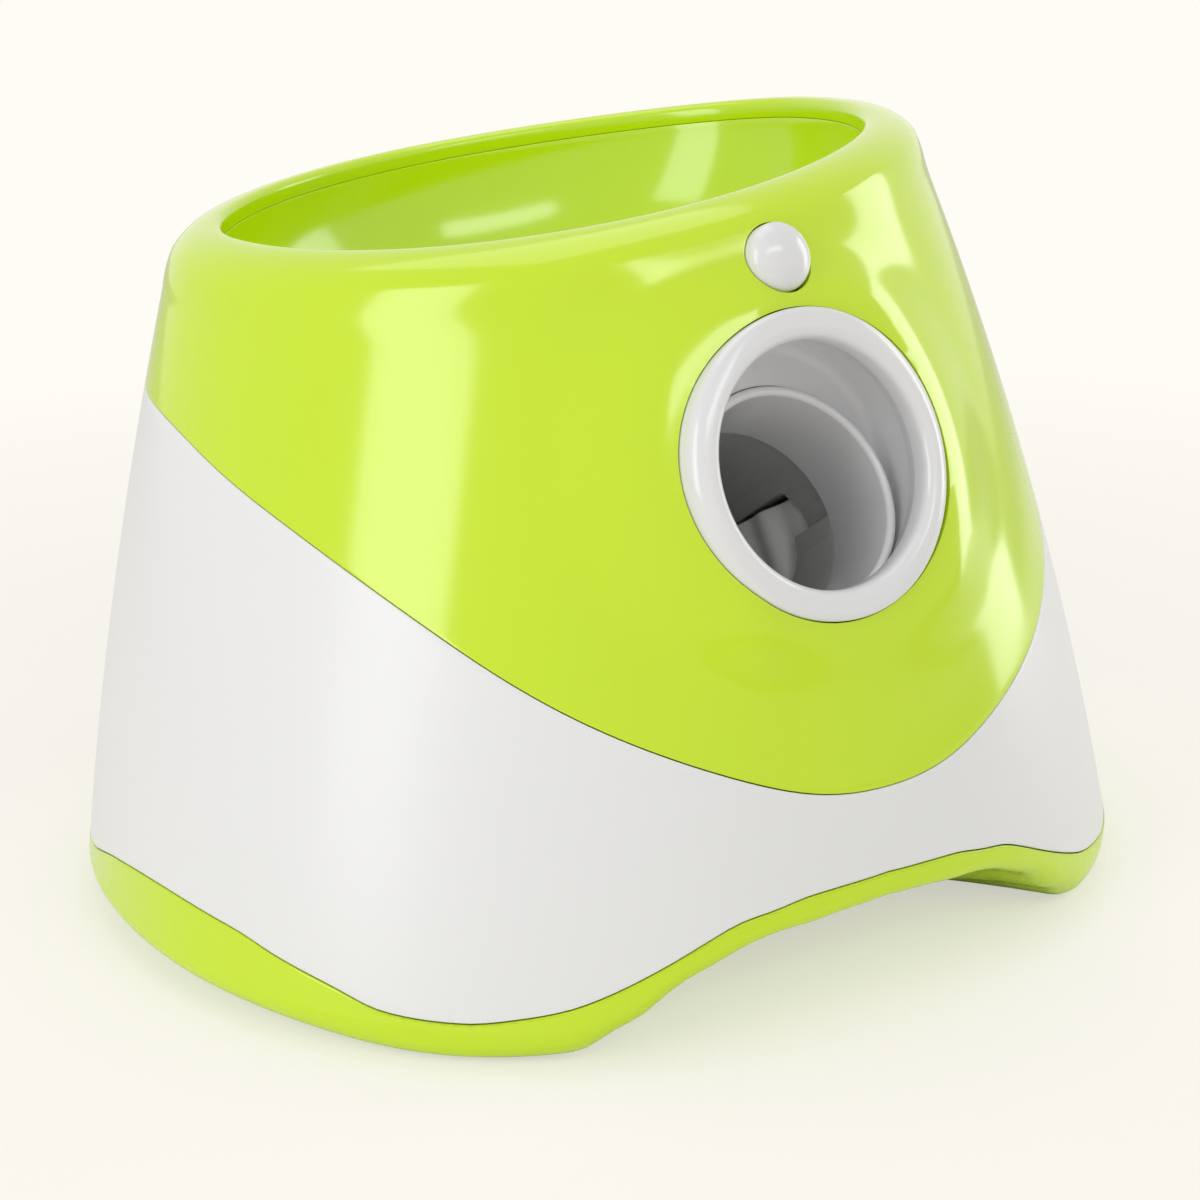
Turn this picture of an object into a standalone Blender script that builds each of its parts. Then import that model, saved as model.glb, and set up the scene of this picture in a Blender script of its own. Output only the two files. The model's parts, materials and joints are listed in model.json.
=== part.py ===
# Automatic dog ball launcher. Metres, +Z up, the launch nozzle faces -Y.
# The origin is the middle of the footprint, on the ground.
import math

import bmesh
import bpy
from mathutils import Matrix, Vector

# Clearances and shared values
GAP = 0.0003
OVERRUN = 0.004
MERGE = 0.00001
AROUND = 48
ROUND_STEPS = 32
SMALL_STEPS = 16
SCREW_STEPS = 8
BALL_DIAMETER = 0.050
SMOOTH_ANGLE = math.radians(35)

# Body: superellipse sections that lean in from the base to a rim that rises towards +X
BASE_HALF_WIDTH = 0.1418
BASE_FRONT_DEPTH = 0.1314
BASE_REAR_DEPTH = 0.1335
RIM_HALF_WIDTH = 0.1042
RIM_FRONT_DEPTH = 0.1090
RIM_REAR_DEPTH = 0.0840
RIM_SHIFT = 0.0303
WIDTH_BULGE = 0.0032
FRONT_BULGE = 0.0060
REAR_BULGE = 0.0015
BASE_EXPONENT = 2.14
RIM_EXPONENT = 1.93
RIM_HEIGHT = 0.1723
RIM_SIDE_SHARE = 0.150
RIM_REAR_SHARE = 0.017
RIM_TWIST_SHARE = 0.054
LIP_RADIUS = 0.0141
LIP_EDGE_RADIUS = 0.0023
LIP_SKIRT = 0.0030
SHELL_WALL = 0.0022
CENTRE_SHIFT = -0.0022

# Base pan: tuck under the wall, foot lobes and front arch
TUCK_HEIGHT = 0.0099
SIDE_TUCK = 0.0271
FOOT_TUCK = 0.0050
ARCH_TUCK = 0.0040
ARCH_TUCK_HEIGHT = 0.0030
FRONT_FOOT_SPREAD = math.radians(28)
REAR_FOOT_SPREAD = math.radians(20)
PAD_PROUD = 0.0010
ARCH_HEIGHT = 0.0271
BAND_HEIGHT = 0.0346
PAN_WALL = 0.0025

# Where the lime shell meets the white shell: height by depth, along the body
PARTING_SCALE = 0.1762
PARTING_DEPTH_SHARES = (-.933, -.899, -.852, -.786, -.701, -.538, -.434, -.264, -.089, .163, .457, .685, .898)
PARTING_HEIGHT_SHARES = (.305, .341, .375, .414, .459, .541, .584, .642, .686, .742, .757, .738, .704)
# Top of the lime band and foot of the front arch: height by angle from the front, in degrees
BAND_ANGLES = (0, 10, 14, 18, 21, 26, 31, 35, 40, 45, 53, 58, 64, 70, 82, 94,
               105, 118, 130, 142, 155, 168, 180)
BAND_SHARES = (1, .971, .925, .879, .803, .653, .514, .425, .364, .327, .358, .46, .561, .656, .702, .618,
               .44, .345, .327, .376, .55, .665, .702)
ARCH_ANGLES = (0, 6, 10, 13, 17, 21, 24, 26, 28, 31, 34, 38)
ARCH_SHARES = (1, .972, .932, .915, .84, .698, .584, .466, .335, .2, .036, 0)
# Rings of the pan's floor: how far out each lies, and how much of the arch it follows
FLOOR_REACH_SHARES = (.45, .70, .90)
FLOOR_SCOOP_SHARES = (0, .3, .9)
WALL_RING_SHARES = (0, .34, .67, 1)
BOWL_SINE_SHARE = 0.75

# Launch nozzle, barrel and wheels
NOZZLE_DEPTH = 0.1025
NOZZLE_HEIGHT = 0.1284
NOZZLE_TILT = math.radians(19.5)
NOZZLE_RADIUS = 0.0368
NOZZLE_EDGE = 0.0015
THROAT_RADIUS = 0.0294
THROAT_FLARE = 0.0036
THROAT_FILLET = 0.0030
THROAT_LENGTH = 0.0140
THROAT_WALL = 0.0020
BARREL_DEPTH = 0.0897
BARREL_HEIGHT = 0.1177
BARREL_TILT = math.radians(33)
BORE_RADIUS = BALL_DIAMETER / 2 + 0.0010
SLEEVE_WALL = 0.0025
SLEEVE_LENGTH = 0.0247
SLEEVE_FLANGE = 0.0024
CHAMBER_RADIUS = 0.0290
CHAMBER_OUTER = 0.0315
CHAMBER_START = 0.0250
CHAMBER_END = 0.0820
WHEEL_PLACE = 0.0600
WHEEL_OFFSET = 0.0530
WHEEL_RADIUS = 0.0310
WHEEL_THICKNESS = 0.0210
TREAD_THICKNESS = 0.0035
RIB_HEIGHT = 0.0014
RIB_COUNT = 18
WHEEL_ROOM = 0.0020
SHAFT_RADIUS = 0.0016
HUB_WEB = 0.0040
HUB_RIM = 0.0026
BOSS_RADIUS = 0.0060
WING_THICKNESS = 0.0025
WING_HALF_WIDTH = 0.0820
WING_START = 0.0290
WING_END = 0.0910
POST_RADIUS = 0.0034
POST_INSET = 0.0042
MOTOR_RADIUS = 0.0140
MOTOR_LENGTH = 0.0380
MOTOR_NOSE = 0.0055
SHAFT_SEAT = 0.0100

# Feed: ramp, drop tube, gate and its drive
DRAIN_DEPTH = 0.0160
DRAIN_RADIUS = 0.0280
DRAIN_HEIGHT = 0.1160
DRAIN_SKIRT = 0.0052
DROP_RADIUS = BALL_DIAMETER / 2 + 0.0025
DROP_WALL = 0.0025
RAMP_RISE = 0.0060
SEAT_STEP = 0.0005
GATE_THICKNESS = 0.0022
GATE_DISC = 0.0290
GATE_HUB = 0.0080
PIVOT_REACH = 0.0467
PIVOT_ANGLE = math.radians(45)
PIVOT_RADIUS = 0.0020
GEAR_MODULE = 0.00125
GEAR_TEETH = 20
PINION_TEETH = 10
GEAR_THICKNESS = 0.0050
GEAR_BACKLASH = 0.00035
TOOTH_TIP_SHARE = 0.8
TOOTH_ROOT_SHARE = 1.16
TOOTH_WIDTH_SHARE = 0.8
TOOTH_LEAN = math.radians(20)
BRACKET_THICKNESS = 0.0030
BRACKET_DROP = 0.0105
BRACKET_MARGIN = 0.0080
GATE_MOTOR_RADIUS = 0.0120
GATE_MOTOR_LENGTH = 0.0280
COLLAR_WIDTH = 0.0035

# Cradle plates and screws
CRADLE_PLACE = 0.0700
CRADLE_THICKNESS = 0.0030
CRADLE_FOOT = 0.0125
CRADLE_START = 0.0340
CRADLE_END = 0.0800
SCREW_SHANK = 0.0014
SCREW_HEAD = 0.0030
SCREW_HEAD_HEIGHT = 0.0018
SCREW_LENGTH = 0.0220

# Sensor
SENSOR_DEPTH = 0.0817
SENSOR_HEIGHT = 0.1732
SENSOR_RADIUS = 0.0084
SENSOR_CROWN = 0.0046
SENSOR_FLANGE = 0.0018
SENSOR_STEP = 0.0055
LENS_WALL = 0.0012
BOARD_THICKNESS = 0.0016
SENSOR_CAN_RADIUS = 0.0042
SENSOR_CAN_HEIGHT = 0.0040

# Rear controls
PANEL_HEIGHT = 0.0650
PANEL_TILT = math.radians(7.6)
PANEL_DEPTH = 0.1189
PANEL_WIDTH = 0.0800
PANEL_TALL = 0.0500
PANEL_THICKNESS = 0.0025
PANEL_MARGIN = 0.0045
WINDOW_CORNER = 0.0060
ROCKER_WIDTH = 0.0180
ROCKER_TALL = 0.0120
ROCKER_DEPTH = 0.0050
ROCKER_TILT = math.radians(7)
SWITCH_FRAME = 0.0016
SWITCH_DEPTH = 0.0090
SWITCH_PLACE = 0.0230
BUTTON_RADIUS = 0.0060
BUTTON_PROUD = 0.0020
BUTTON_FLANGE = 0.0012
BUTTON_TRAVEL = 0.0012
LIGHT_RADIUS = 0.0016
LIGHT_PITCH = 0.0080
LIGHT_RISE = 0.0130
JACK_RADIUS = 0.0045
JACK_BORE = 0.0028
JACK_DEPTH = 0.0105
JACK_DROP = 0.0080
BOARD_STANDOFF = 0.0120
BOARD_WIDTH = 0.0740
BOARD_TALL = 0.0440
STANDOFF_RADIUS = 0.0025
TACT_SIZE = 0.0060
BUZZER_RADIUS = 0.0060
BUZZER_HEIGHT = 0.0060

# Battery bay
CELL_RADIUS = 0.0131
CELL_LENGTH = 0.0500
CELL_NUB = 0.0015
CELL_NUB_RADIUS = 0.0030
BAY_CENTRE = 0.0620
BAY_WALL = 0.0020
CONTACT_ROOM = 0.0060
CONTACT_PLATE = 0.0006
CONTACT_WIDTH = 0.0100
SPRING_RADIUS = 0.0045
SPRING_TIP = 0.0025
DOOR_THICKNESS = 0.0020
DOOR_LIP = 0.0030
DOOR_GAP = 0.0007
FOOT_RADIUS = 0.0070
FOOT_THICKNESS = 0.0019
FOOT_DEPTH = 0.0840
FOOT_PLACE = 0.0840

LIME = (0.58, 0.80, 0.03, 1)
WHITE = (0.86, 0.87, 0.88, 1)
STEEL = (0.55, 0.56, 0.58, 1)
DARK = (0.04, 0.04, 0.045, 1)
GREY = (0.45, 0.46, 0.47, 1)
BOARD_GREEN = (0.02, 0.22, 0.08, 1)
BRASS = (0.75, 0.60, 0.25, 1)

for old in list(bpy.data.objects):
    bpy.data.objects.remove(old, do_unlink=True)
parts = bpy.data.collections.new("dog_ball_launcher")
cutters = bpy.data.collections.new("cutters")
bpy.context.scene.collection.children.link(parts)
bpy.context.scene.collection.children.link(cutters)

# Everything hangs on this empty, which sets the middle of the footprint on the origin
footprint = bpy.data.objects.new("footprint_middle", None)
footprint.location = (0, CENTRE_SHIFT, 0)
parts.objects.link(footprint)


# Helpers

def finish(name, colour, roughness, metallic=0.0):
    shade = bpy.data.materials.new(name)
    shade.use_nodes = True
    shader = shade.node_tree.nodes["Principled BSDF"]
    shader.inputs["Base Color"].default_value = colour
    shader.inputs["Roughness"].default_value = roughness
    shader.inputs["Metallic"].default_value = metallic
    shade.diffuse_color = colour
    return shade


def place(name, mesh, shade=None, location=(0, 0, 0), rotation=(0, 0, 0), parent=None):
    # An object without a finish is a cutter
    thing = bpy.data.objects.new(name, mesh)
    thing.location = location
    thing.rotation_euler = rotation
    thing.parent = parent or footprint
    if shade is None:
        cutters.objects.link(thing)
        thing.hide_render = True
        thing.display_type = "WIRE"
        return thing
    parts.objects.link(thing)
    mesh.materials.append(finish(name, *shade))
    mesh.shade_smooth()
    mesh.set_sharp_from_angle(angle=SMOOTH_ANGLE)
    return thing


def empty(name, location, rotation=(0, 0, 0), parent=None):
    frame = bpy.data.objects.new(name, None)
    frame.location = location
    frame.rotation_euler = rotation
    frame.parent = parent or footprint
    parts.objects.link(frame)
    return frame


def bmesh_to_mesh(name, shape):
    mesh = bpy.data.meshes.new(name)
    bmesh.ops.recalc_face_normals(shape, faces=shape.faces)
    shape.to_mesh(mesh)
    shape.free()
    return mesh


def box_mesh(name, size, centre=(0, 0, 0)):
    shape = bmesh.new()
    bmesh.ops.create_cube(shape, size=1.0)
    bmesh.ops.scale(shape, vec=size, verts=shape.verts)
    bmesh.ops.translate(shape, vec=centre, verts=shape.verts)
    return bmesh_to_mesh(name, shape)


def round_mesh(name, radius, low, high, centre=(0, 0), steps=SMALL_STEPS, top_radius=None):
    # Upright cylinder or cone between two heights
    shape = bmesh.new()
    top = radius if top_radius is None else top_radius
    bmesh.ops.create_cone(shape, cap_ends=True, segments=steps, radius1=radius, radius2=top, depth=high - low)
    bmesh.ops.translate(shape, vec=(centre[0], centre[1], (low + high) / 2), verts=shape.verts)
    return bmesh_to_mesh(name, shape)


def ball_mesh(name, radius, centre):
    shape = bmesh.new()
    bmesh.ops.create_uvsphere(shape, u_segments=ROUND_STEPS, v_segments=SMALL_STEPS, radius=radius)
    bmesh.ops.translate(shape, vec=centre, verts=shape.verts)
    return bmesh_to_mesh(name, shape)


def outline_mesh(name, points, low, high):
    # A flat outline pulled up between two heights
    shape = bmesh.new()
    corners = [shape.verts.new((x, y, low)) for x, y in points]
    face = shape.faces.new(corners)
    pulled = bmesh.ops.extrude_face_region(shape, geom=[face])["geom"]
    lifted = [item for item in pulled if isinstance(item, bmesh.types.BMVert)]
    bmesh.ops.translate(shape, vec=(0, 0, high - low), verts=lifted)
    return bmesh_to_mesh(name, shape)


def loft_mesh(name, rings, matrix=None):
    # Rings of equal count joined side by side and closed at both ends
    shape = bmesh.new()
    loops = [[shape.verts.new(point) for point in ring] for ring in rings]
    for upper, lower in zip(loops, loops[1:]):
        for i in range(len(upper)):
            after = (i + 1) % len(upper)
            shape.faces.new((upper[i], lower[i], lower[after], upper[after]))
    shape.faces.new(loops[0])
    shape.faces.new(loops[-1])
    if matrix is not None:
        shape.transform(matrix)
    return bmesh_to_mesh(name, shape)


def stepped(levels, matrix=None, steps=SMALL_STEPS):
    # Solid of round steps about Z from (radius, height) levels, listed from the top down
    turns = [2 * math.pi * i / steps for i in range(steps)]
    rings = [[(radius * math.cos(a), radius * math.sin(a), level) for a in turns] for radius, level in levels]
    return loft_mesh("stepped", rings, matrix)


def gather(name, meshes):
    # Several separate solids in one mesh
    shape = bmesh.new()
    for mesh in meshes:
        shape.from_mesh(mesh)
    return bmesh_to_mesh(name, shape)


def turned(name, profile, shade, steps=ROUND_STEPS, closed=True, **where):
    # Profile of (radius, height) points, down the outer side from the top, turned about Z
    mesh = bpy.data.meshes.new(name)
    count = len(profile)
    edges = [(i, i + 1) for i in range(count - 1)]
    if closed:
        edges.append((count - 1, 0))
    # An edge that lies on the axis makes no face
    edges = [edge for edge in edges if profile[edge[0]][0] > 0 or profile[edge[1]][0] > 0]
    mesh.from_pydata([(radius, 0, height) for radius, height in profile], edges, [])
    thing = place(name, mesh, shade, **where)
    screw = thing.modifiers.new("turn", "SCREW")
    screw.steps = steps
    screw.render_steps = steps
    screw.use_merge_vertices = True
    screw.merge_threshold = MERGE
    screw.use_smooth_shade = True
    return thing


def combine(target, other, operation):
    step = target.modifiers.new(operation.lower(), "BOOLEAN")
    step.operation = operation
    step.solver = "EXACT"
    step.object = other


def cut(target, *others):
    for other in others:
        combine(target, other, "DIFFERENCE")


def join(target, *others):
    for other in others:
        combine(target, other, "UNION")


def arc(centre, radius, start, end, count):
    # Points on a circular arc between two angles in degrees
    angles = [math.radians(start + (end - start) * i / count) for i in range(count + 1)]
    return [(centre[0] + radius * math.cos(a), centre[1] + radius * math.sin(a)) for a in angles]


def read_table(places, values, place_wanted):
    # Smooth curve through a short table: cubic pieces with averaged slopes
    last = len(places) - 1
    if place_wanted <= places[0]:
        return values[0]
    if place_wanted >= places[last]:
        return values[last]
    index = max(i for i in range(last) if places[i] <= place_wanted)

    def slope(i):
        before = max(i - 1, 0)
        after = min(i + 1, last)
        return (values[after] - values[before]) / (places[after] - places[before])

    width = places[index + 1] - places[index]
    s = (place_wanted - places[index]) / width
    rise = values[index] * (1 + 2 * s) * (1 - s) ** 2 + values[index + 1] * s * s * (3 - 2 * s)
    return rise + width * (slope(index) * s * (1 - s) ** 2 - slope(index + 1) * s * s * (1 - s))


# Body surface

def power(value, exponent):
    return math.copysign(abs(value) ** exponent, value)


def rim_level(x, y):
    # The rim rises to one side, a little more steeply at the front than at the rear
    twist = RIM_TWIST_SHARE * x * y / BASE_HALF_WIDTH
    return RIM_HEIGHT + RIM_SIDE_SHARE * x - RIM_REAR_SHARE * y - twist


def section_point(turn, share, inset=0.0):
    # Plan point of the section at a share of the wall height, 0 at the base and 1 at the rim
    bulge = 4 * share * (1 - share)
    half = BASE_HALF_WIDTH + (RIM_HALF_WIDTH - BASE_HALF_WIDTH) * share + WIDTH_BULGE * bulge - inset
    front = BASE_FRONT_DEPTH + (RIM_FRONT_DEPTH - BASE_FRONT_DEPTH) * share + FRONT_BULGE * bulge - inset
    rear = BASE_REAR_DEPTH + (RIM_REAR_DEPTH - BASE_REAR_DEPTH) * share + REAR_BULGE * bulge - inset
    exponent = 2 / (BASE_EXPONENT + (RIM_EXPONENT - BASE_EXPONENT) * share)
    middle = (BASE_FRONT_DEPTH - BASE_REAR_DEPTH) / 2 + RIM_SHIFT * share
    depth = front if math.sin(turn) < 0 else rear
    return half * power(math.cos(turn), exponent), middle + depth * power(math.sin(turn), exponent)


def wall_point(turn, share, inset=0.0):
    x, y = section_point(turn, share, inset)
    return Vector((x, y, TUCK_HEIGHT + share * (rim_level(x, y) - TUCK_HEIGHT)))


def share_at_height(turn, height):
    # Share of the wall height where a column reaches a height
    share = 0.5
    for _ in range(12):
        x, y = section_point(turn, share)
        share = (height - TUCK_HEIGHT) / (rim_level(x, y) - TUCK_HEIGHT)
    return share


def parting_share(turn, offset):
    share = 0.5
    for _ in range(16):
        x, y = section_point(turn, share)
        height = PARTING_SCALE * read_table(PARTING_DEPTH_SHARES, PARTING_HEIGHT_SHARES, y / BASE_FRONT_DEPTH)
        share = (height + offset - TUCK_HEIGHT) / (rim_level(x, y) - TUCK_HEIGHT)
    return share


def front_angle(turn):
    # Degrees from the front, the same on both sides
    x, y = section_point(turn, 0)
    return math.degrees(math.atan2(abs(x), -y))


def band_level(turn):
    return BAND_HEIGHT * read_table(BAND_ANGLES, BAND_SHARES, front_angle(turn))


def columns():
    return [2 * math.pi * i / AROUND for i in range(AROUND)]


def surface(name, rings, thickness, shade, capped=False):
    # Rings of points become an open sheet, which Solidify gives its wall
    mesh = bpy.data.meshes.new(name)
    points = [point for ring in rings for point in ring]
    faces = []
    for row in range(len(rings) - 1):
        for i in range(AROUND):
            after = (i + 1) % AROUND
            low = row * AROUND
            high = low + AROUND
            faces.append((low + i, low + after, high + after, high + i))
    if capped:
        faces.append(tuple(reversed(range(AROUND))))
    mesh.from_pydata(points, [], faces)
    thing = place(name, mesh, shade)
    wall = thing.modifiers.new("wall", "SOLIDIFY")
    wall.thickness = thickness
    wall.offset = -1
    wall.use_even_offset = True
    wall.use_quality_normals = True
    return thing


def base_rings():
    rings = []
    turns = columns()
    arch = [read_table(ARCH_ANGLES, ARCH_SHARES, front_angle(t)) for t in turns]
    for reach_share, scoop_share in zip(FLOOR_REACH_SHARES, FLOOR_SCOOP_SHARES):
        ring = []
        for turn, lift in zip(turns, arch):
            x, y = section_point(turn, 0, tuck_inset(turn, lift))
            level = PAD_PROUD + ARCH_HEIGHT * lift * scoop_share
            ring.append(Vector((x * reach_share, y * reach_share, level)))
        rings.append(ring)
    for quarter in range(4):
        angle = math.radians(90 * quarter / 3)
        ring = []
        for turn, lift in zip(turns, arch):
            tall = TUCK_HEIGHT - PAD_PROUD + (ARCH_TUCK_HEIGHT - TUCK_HEIGHT + PAD_PROUD) * lift
            foot = PAD_PROUD + ARCH_HEIGHT * lift
            height = foot + tall * (1 - math.cos(angle))
            share = max(0.0, share_at_height(turn, height))
            x, y = section_point(turn, share, tuck_inset(turn, lift) * (1 - math.sin(angle)))
            ring.append(Vector((x, y, height)))
        rings.append(ring)
    rings.append([wall_point(turn, share_at_height(turn, band_level(turn))) for turn in turns])
    return rings


def tuck_inset(turn, lift):
    # How far the wall tucks under: little at the feet and the arch, more along the sides
    inset = SIDE_TUCK
    for centre, spread in ((225, FRONT_FOOT_SPREAD), (315, FRONT_FOOT_SPREAD),
                           (45, REAR_FOOT_SPREAD), (135, REAR_FOOT_SPREAD)):
        away = (turn - math.radians(centre)) / spread
        inset += (FOOT_TUCK - SIDE_TUCK) * math.exp(-away * away)
    inset = max(inset, FOOT_TUCK)
    return inset + (ARCH_TUCK - inset) * math.sqrt(lift)


def lip_edge(turn):
    # Inner edge of the rim lip, where the bowl starts
    inset = LIP_RADIUS + LIP_EDGE_RADIUS
    point = wall_point(turn, 1, inset)
    point.z = rim_level(point.x, point.y) + LIP_RADIUS - LIP_EDGE_RADIUS - LIP_SKIRT
    return point


# Outer pieces

def make_base_pan():
    pan = surface("base_pan", base_rings(), PAN_WALL, (LIME, 0.25), capped=True)
    door = box_mesh("door_opening", (door_size()[0] + 2 * GAP, door_size()[1] + 2 * DOOR_GAP, 2 * OVERRUN),
                    (0, BAY_CENTRE, PAD_PROUD))
    cut(pan, place("door_opening", door))
    recess = [round_mesh("recess", FOOT_RADIUS + GAP, -OVERRUN, FOOT_THICKNESS + GAP, centre)
              for centre in foot_places()]
    cut(pan, place("foot_recesses", gather("foot_recesses", recess)))
    screws = [round_mesh("hole", SCREW_SHANK + GAP, -OVERRUN, 2 * OVERRUN, centre, SMALL_STEPS // 2)
              for side in (-1, 1) for centre in cradle_screw_places(side)]
    cut(pan, place("pan_screw_holes", gather("pan_screw_holes", screws)))


def make_lower_shell():
    rings = []
    for step in WALL_RING_SHARES:
        ring = []
        for turn in columns():
            low = share_at_height(turn, band_level(turn) + GAP)
            high = parting_share(turn, -GAP)
            ring.append(wall_point(turn, low + (high - low) * step))
        rings.append(ring)
    shell = surface("lower_shell", rings, SHELL_WALL, (WHITE, 0.35))
    width = PANEL_WIDTH - 2 * PANEL_MARGIN
    tall = PANEL_TALL - 2 * PANEL_MARGIN
    outline = rounded_outline(width, tall, WINDOW_CORNER)
    window = outline_mesh("panel_window", outline, 0, 6 * OVERRUN)
    cut(shell, place("panel_window", window, None, panel_origin(), panel_turn()))


def make_top_shell():
    rings = []
    for step in WALL_RING_SHARES:
        rings.append([wall_point(turn, parting_share(turn, GAP) * (1 - step) + step) for turn in columns()])
    for angle in (30, 60, 90):
        bend = math.radians(angle)
        rings.append(lip_ring(LIP_RADIUS * (1 - math.cos(bend)), LIP_RADIUS * math.sin(bend)))
    for angle in (45, 90):
        bend = math.radians(angle)
        rings.append(lip_ring(LIP_RADIUS + LIP_EDGE_RADIUS * math.sin(bend),
                              LIP_RADIUS - LIP_EDGE_RADIUS * (1 - math.cos(bend))))
    rings.append([lip_edge(turn) + Vector((0, 0, GAP)) for turn in columns()])
    shell = surface("top_shell", rings, SHELL_WALL - GAP, (LIME, 0.12))
    hole = round_mesh("nozzle_hole", NOZZLE_RADIUS + GAP, -THROAT_LENGTH - 3 * OVERRUN, 2 * OVERRUN,
                      steps=ROUND_STEPS)
    cut(shell, place("nozzle_hole", hole, None, nozzle_origin(), outward(NOZZLE_TILT)))
    peep = round_mesh("sensor_hole", SENSOR_RADIUS + GAP, -2 * OVERRUN, 2 * OVERRUN, steps=SMALL_STEPS)
    cut(shell, place("sensor_hole", peep, None, sensor_origin(), outward(NOZZLE_TILT)))


def lip_ring(inset, rise):
    ring = []
    for turn in columns():
        x, y = section_point(turn, 1, inset)
        ring.append(Vector((x, y, rim_level(x, y) + rise)))
    return ring


def make_hopper_bowl():
    rings = []
    for angle in (0, 17, 34, 52, 71, 90):
        bend = math.radians(angle)
        drop = BOWL_SINE_SHARE * math.sin(bend) + (1 - BOWL_SINE_SHARE) * (1 - math.cos(bend))
        ring = []
        for turn in columns():
            edge = lip_edge(turn)
            drain = Vector((DRAIN_RADIUS * math.cos(turn), DRAIN_DEPTH + DRAIN_RADIUS * math.sin(turn), 0))
            point = drain + (edge - drain) * math.cos(bend)
            point.z = edge.z + (DRAIN_HEIGHT - edge.z) * drop
            ring.append(point)
        rings.append(ring)
    low = DRAIN_HEIGHT - DRAIN_SKIRT
    rings.append([Vector((p.x, p.y, low)) for p in rings[-1]])
    surface("hopper_bowl", rings, SHELL_WALL, (LIME, 0.15))


# Frames that the inner pieces share

def outward(tilt):
    # Turns local Z to point out of the front, up by the tilt, and local Y to point up
    return math.pi / 2 - tilt, 0, 0


def nozzle_origin():
    return 0, -NOZZLE_DEPTH, NOZZLE_HEIGHT


def barrel_origin():
    return 0, -BARREL_DEPTH, BARREL_HEIGHT


def sensor_origin():
    return 0, -SENSOR_DEPTH, SENSOR_HEIGHT


def barrel_matrix():
    return Matrix.Translation(barrel_origin()) @ Matrix.Rotation(outward(BARREL_TILT)[0], 4, "X")


def seat_point():
    # Middle of the ball when it waits against both wheels
    reach = WHEEL_RADIUS + BALL_DIAMETER / 2
    back = WHEEL_PLACE + math.sqrt(reach * reach - WHEEL_OFFSET * WHEEL_OFFSET)
    return barrel_matrix() @ Vector((0, 0, -back))


def in_barrel(name, mesh, shade=None):
    return place(name, mesh, shade, barrel_origin(), outward(BARREL_TILT))


def foot_places():
    return [(x * FOOT_PLACE, y * FOOT_DEPTH) for x in (-1, 1) for y in (-1, 1)]


def rounded_outline(width, tall, corner):
    points = []
    for x, y, start in ((1, 1, 0), (-1, 1, 90), (-1, -1, 180), (1, -1, 270)):
        centre = (x * (width / 2 - corner), y * (tall / 2 - corner))
        points += arc(centre, corner, start, start + 90, 4)
    return points


# Nozzle and sensor

def make_nozzle_ring():
    wide = THROAT_RADIUS + THROAT_FLARE
    profile = arc((NOZZLE_RADIUS - NOZZLE_EDGE, -NOZZLE_EDGE), NOZZLE_EDGE, 90, 0, 3)
    profile += [(NOZZLE_RADIUS, -THROAT_LENGTH + THROAT_WALL), (wide + THROAT_WALL, -THROAT_LENGTH)]
    profile += [(wide, -THROAT_LENGTH), (THROAT_RADIUS, -2 * THROAT_FILLET)]
    profile += arc((THROAT_RADIUS + THROAT_FILLET, -THROAT_FILLET), THROAT_FILLET, 180, 90, 4)
    ring = turned("nozzle_ring", profile, (WHITE, 0.22),
                  location=nozzle_origin(), rotation=outward(NOZZLE_TILT))
    # The sleeve lies at a steeper tilt, in a pocket of the throat's lower wall
    pocket = round_mesh("sleeve_pocket", BORE_RADIUS + SLEEVE_WALL + GAP, -SLEEVE_LENGTH, GAP,
                        steps=ROUND_STEPS)
    cut(ring, in_barrel("sleeve_pocket", pocket))


def make_barrel_sleeve():
    outer = BORE_RADIUS + SLEEVE_WALL
    rim = SLEEVE_WALL / 2
    profile = arc((BORE_RADIUS + rim, -rim), rim, 90, 0, 3)
    profile += [(outer, -SLEEVE_LENGTH + SLEEVE_FLANGE), (CHAMBER_OUTER, -SLEEVE_LENGTH + SLEEVE_FLANGE)]
    profile += [(CHAMBER_OUTER, -SLEEVE_LENGTH), (BORE_RADIUS, -SLEEVE_LENGTH)]
    profile += arc((BORE_RADIUS + rim, -rim), rim, 180, 120, 2)
    turned("barrel_sleeve", profile, (WHITE, 0.3), location=barrel_origin(), rotation=outward(BARREL_TILT))


def make_sensor():
    inner = SENSOR_RADIUS - LENS_WALL
    crown = [(SENSOR_RADIUS * math.sin(a), SENSOR_CROWN * math.cos(a))
             for a in [math.radians(22.5 * i) for i in range(5)]]
    under = [(inner * math.sin(a), (SENSOR_CROWN - LENS_WALL) * math.cos(a))
             for a in [math.radians(30 * i) for i in range(3, -1, -1)]]
    back = -SENSOR_STEP - LENS_WALL
    profile = crown + [(SENSOR_RADIUS, -SENSOR_STEP), (SENSOR_RADIUS + SENSOR_FLANGE, -SENSOR_STEP),
                       (SENSOR_RADIUS + SENSOR_FLANGE, back), (inner, back)] + under
    turned("sensor_dome", profile, (WHITE, 0.1), SMALL_STEPS, closed=False,
           location=sensor_origin(), rotation=outward(NOZZLE_TILT))
    top = back - GAP
    wide = SENSOR_RADIUS + SENSOR_FLANGE
    # The board with its sensing element soldered on is one solid
    board = stepped(((SENSOR_CAN_RADIUS, top + SENSOR_CAN_HEIGHT), (SENSOR_CAN_RADIUS, top),
                     (wide, top), (wide, top - BOARD_THICKNESS)))
    place("sensor_board", board, (BOARD_GREEN, 0.5), sensor_origin(), outward(NOZZLE_TILT))


# Feed path: the ball rolls down a ramp from the drop tube to its seat behind the wheels

def elbow_point():
    seat = seat_point()
    return Vector((0, DRAIN_DEPTH, seat.z + RAMP_RISE))


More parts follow.
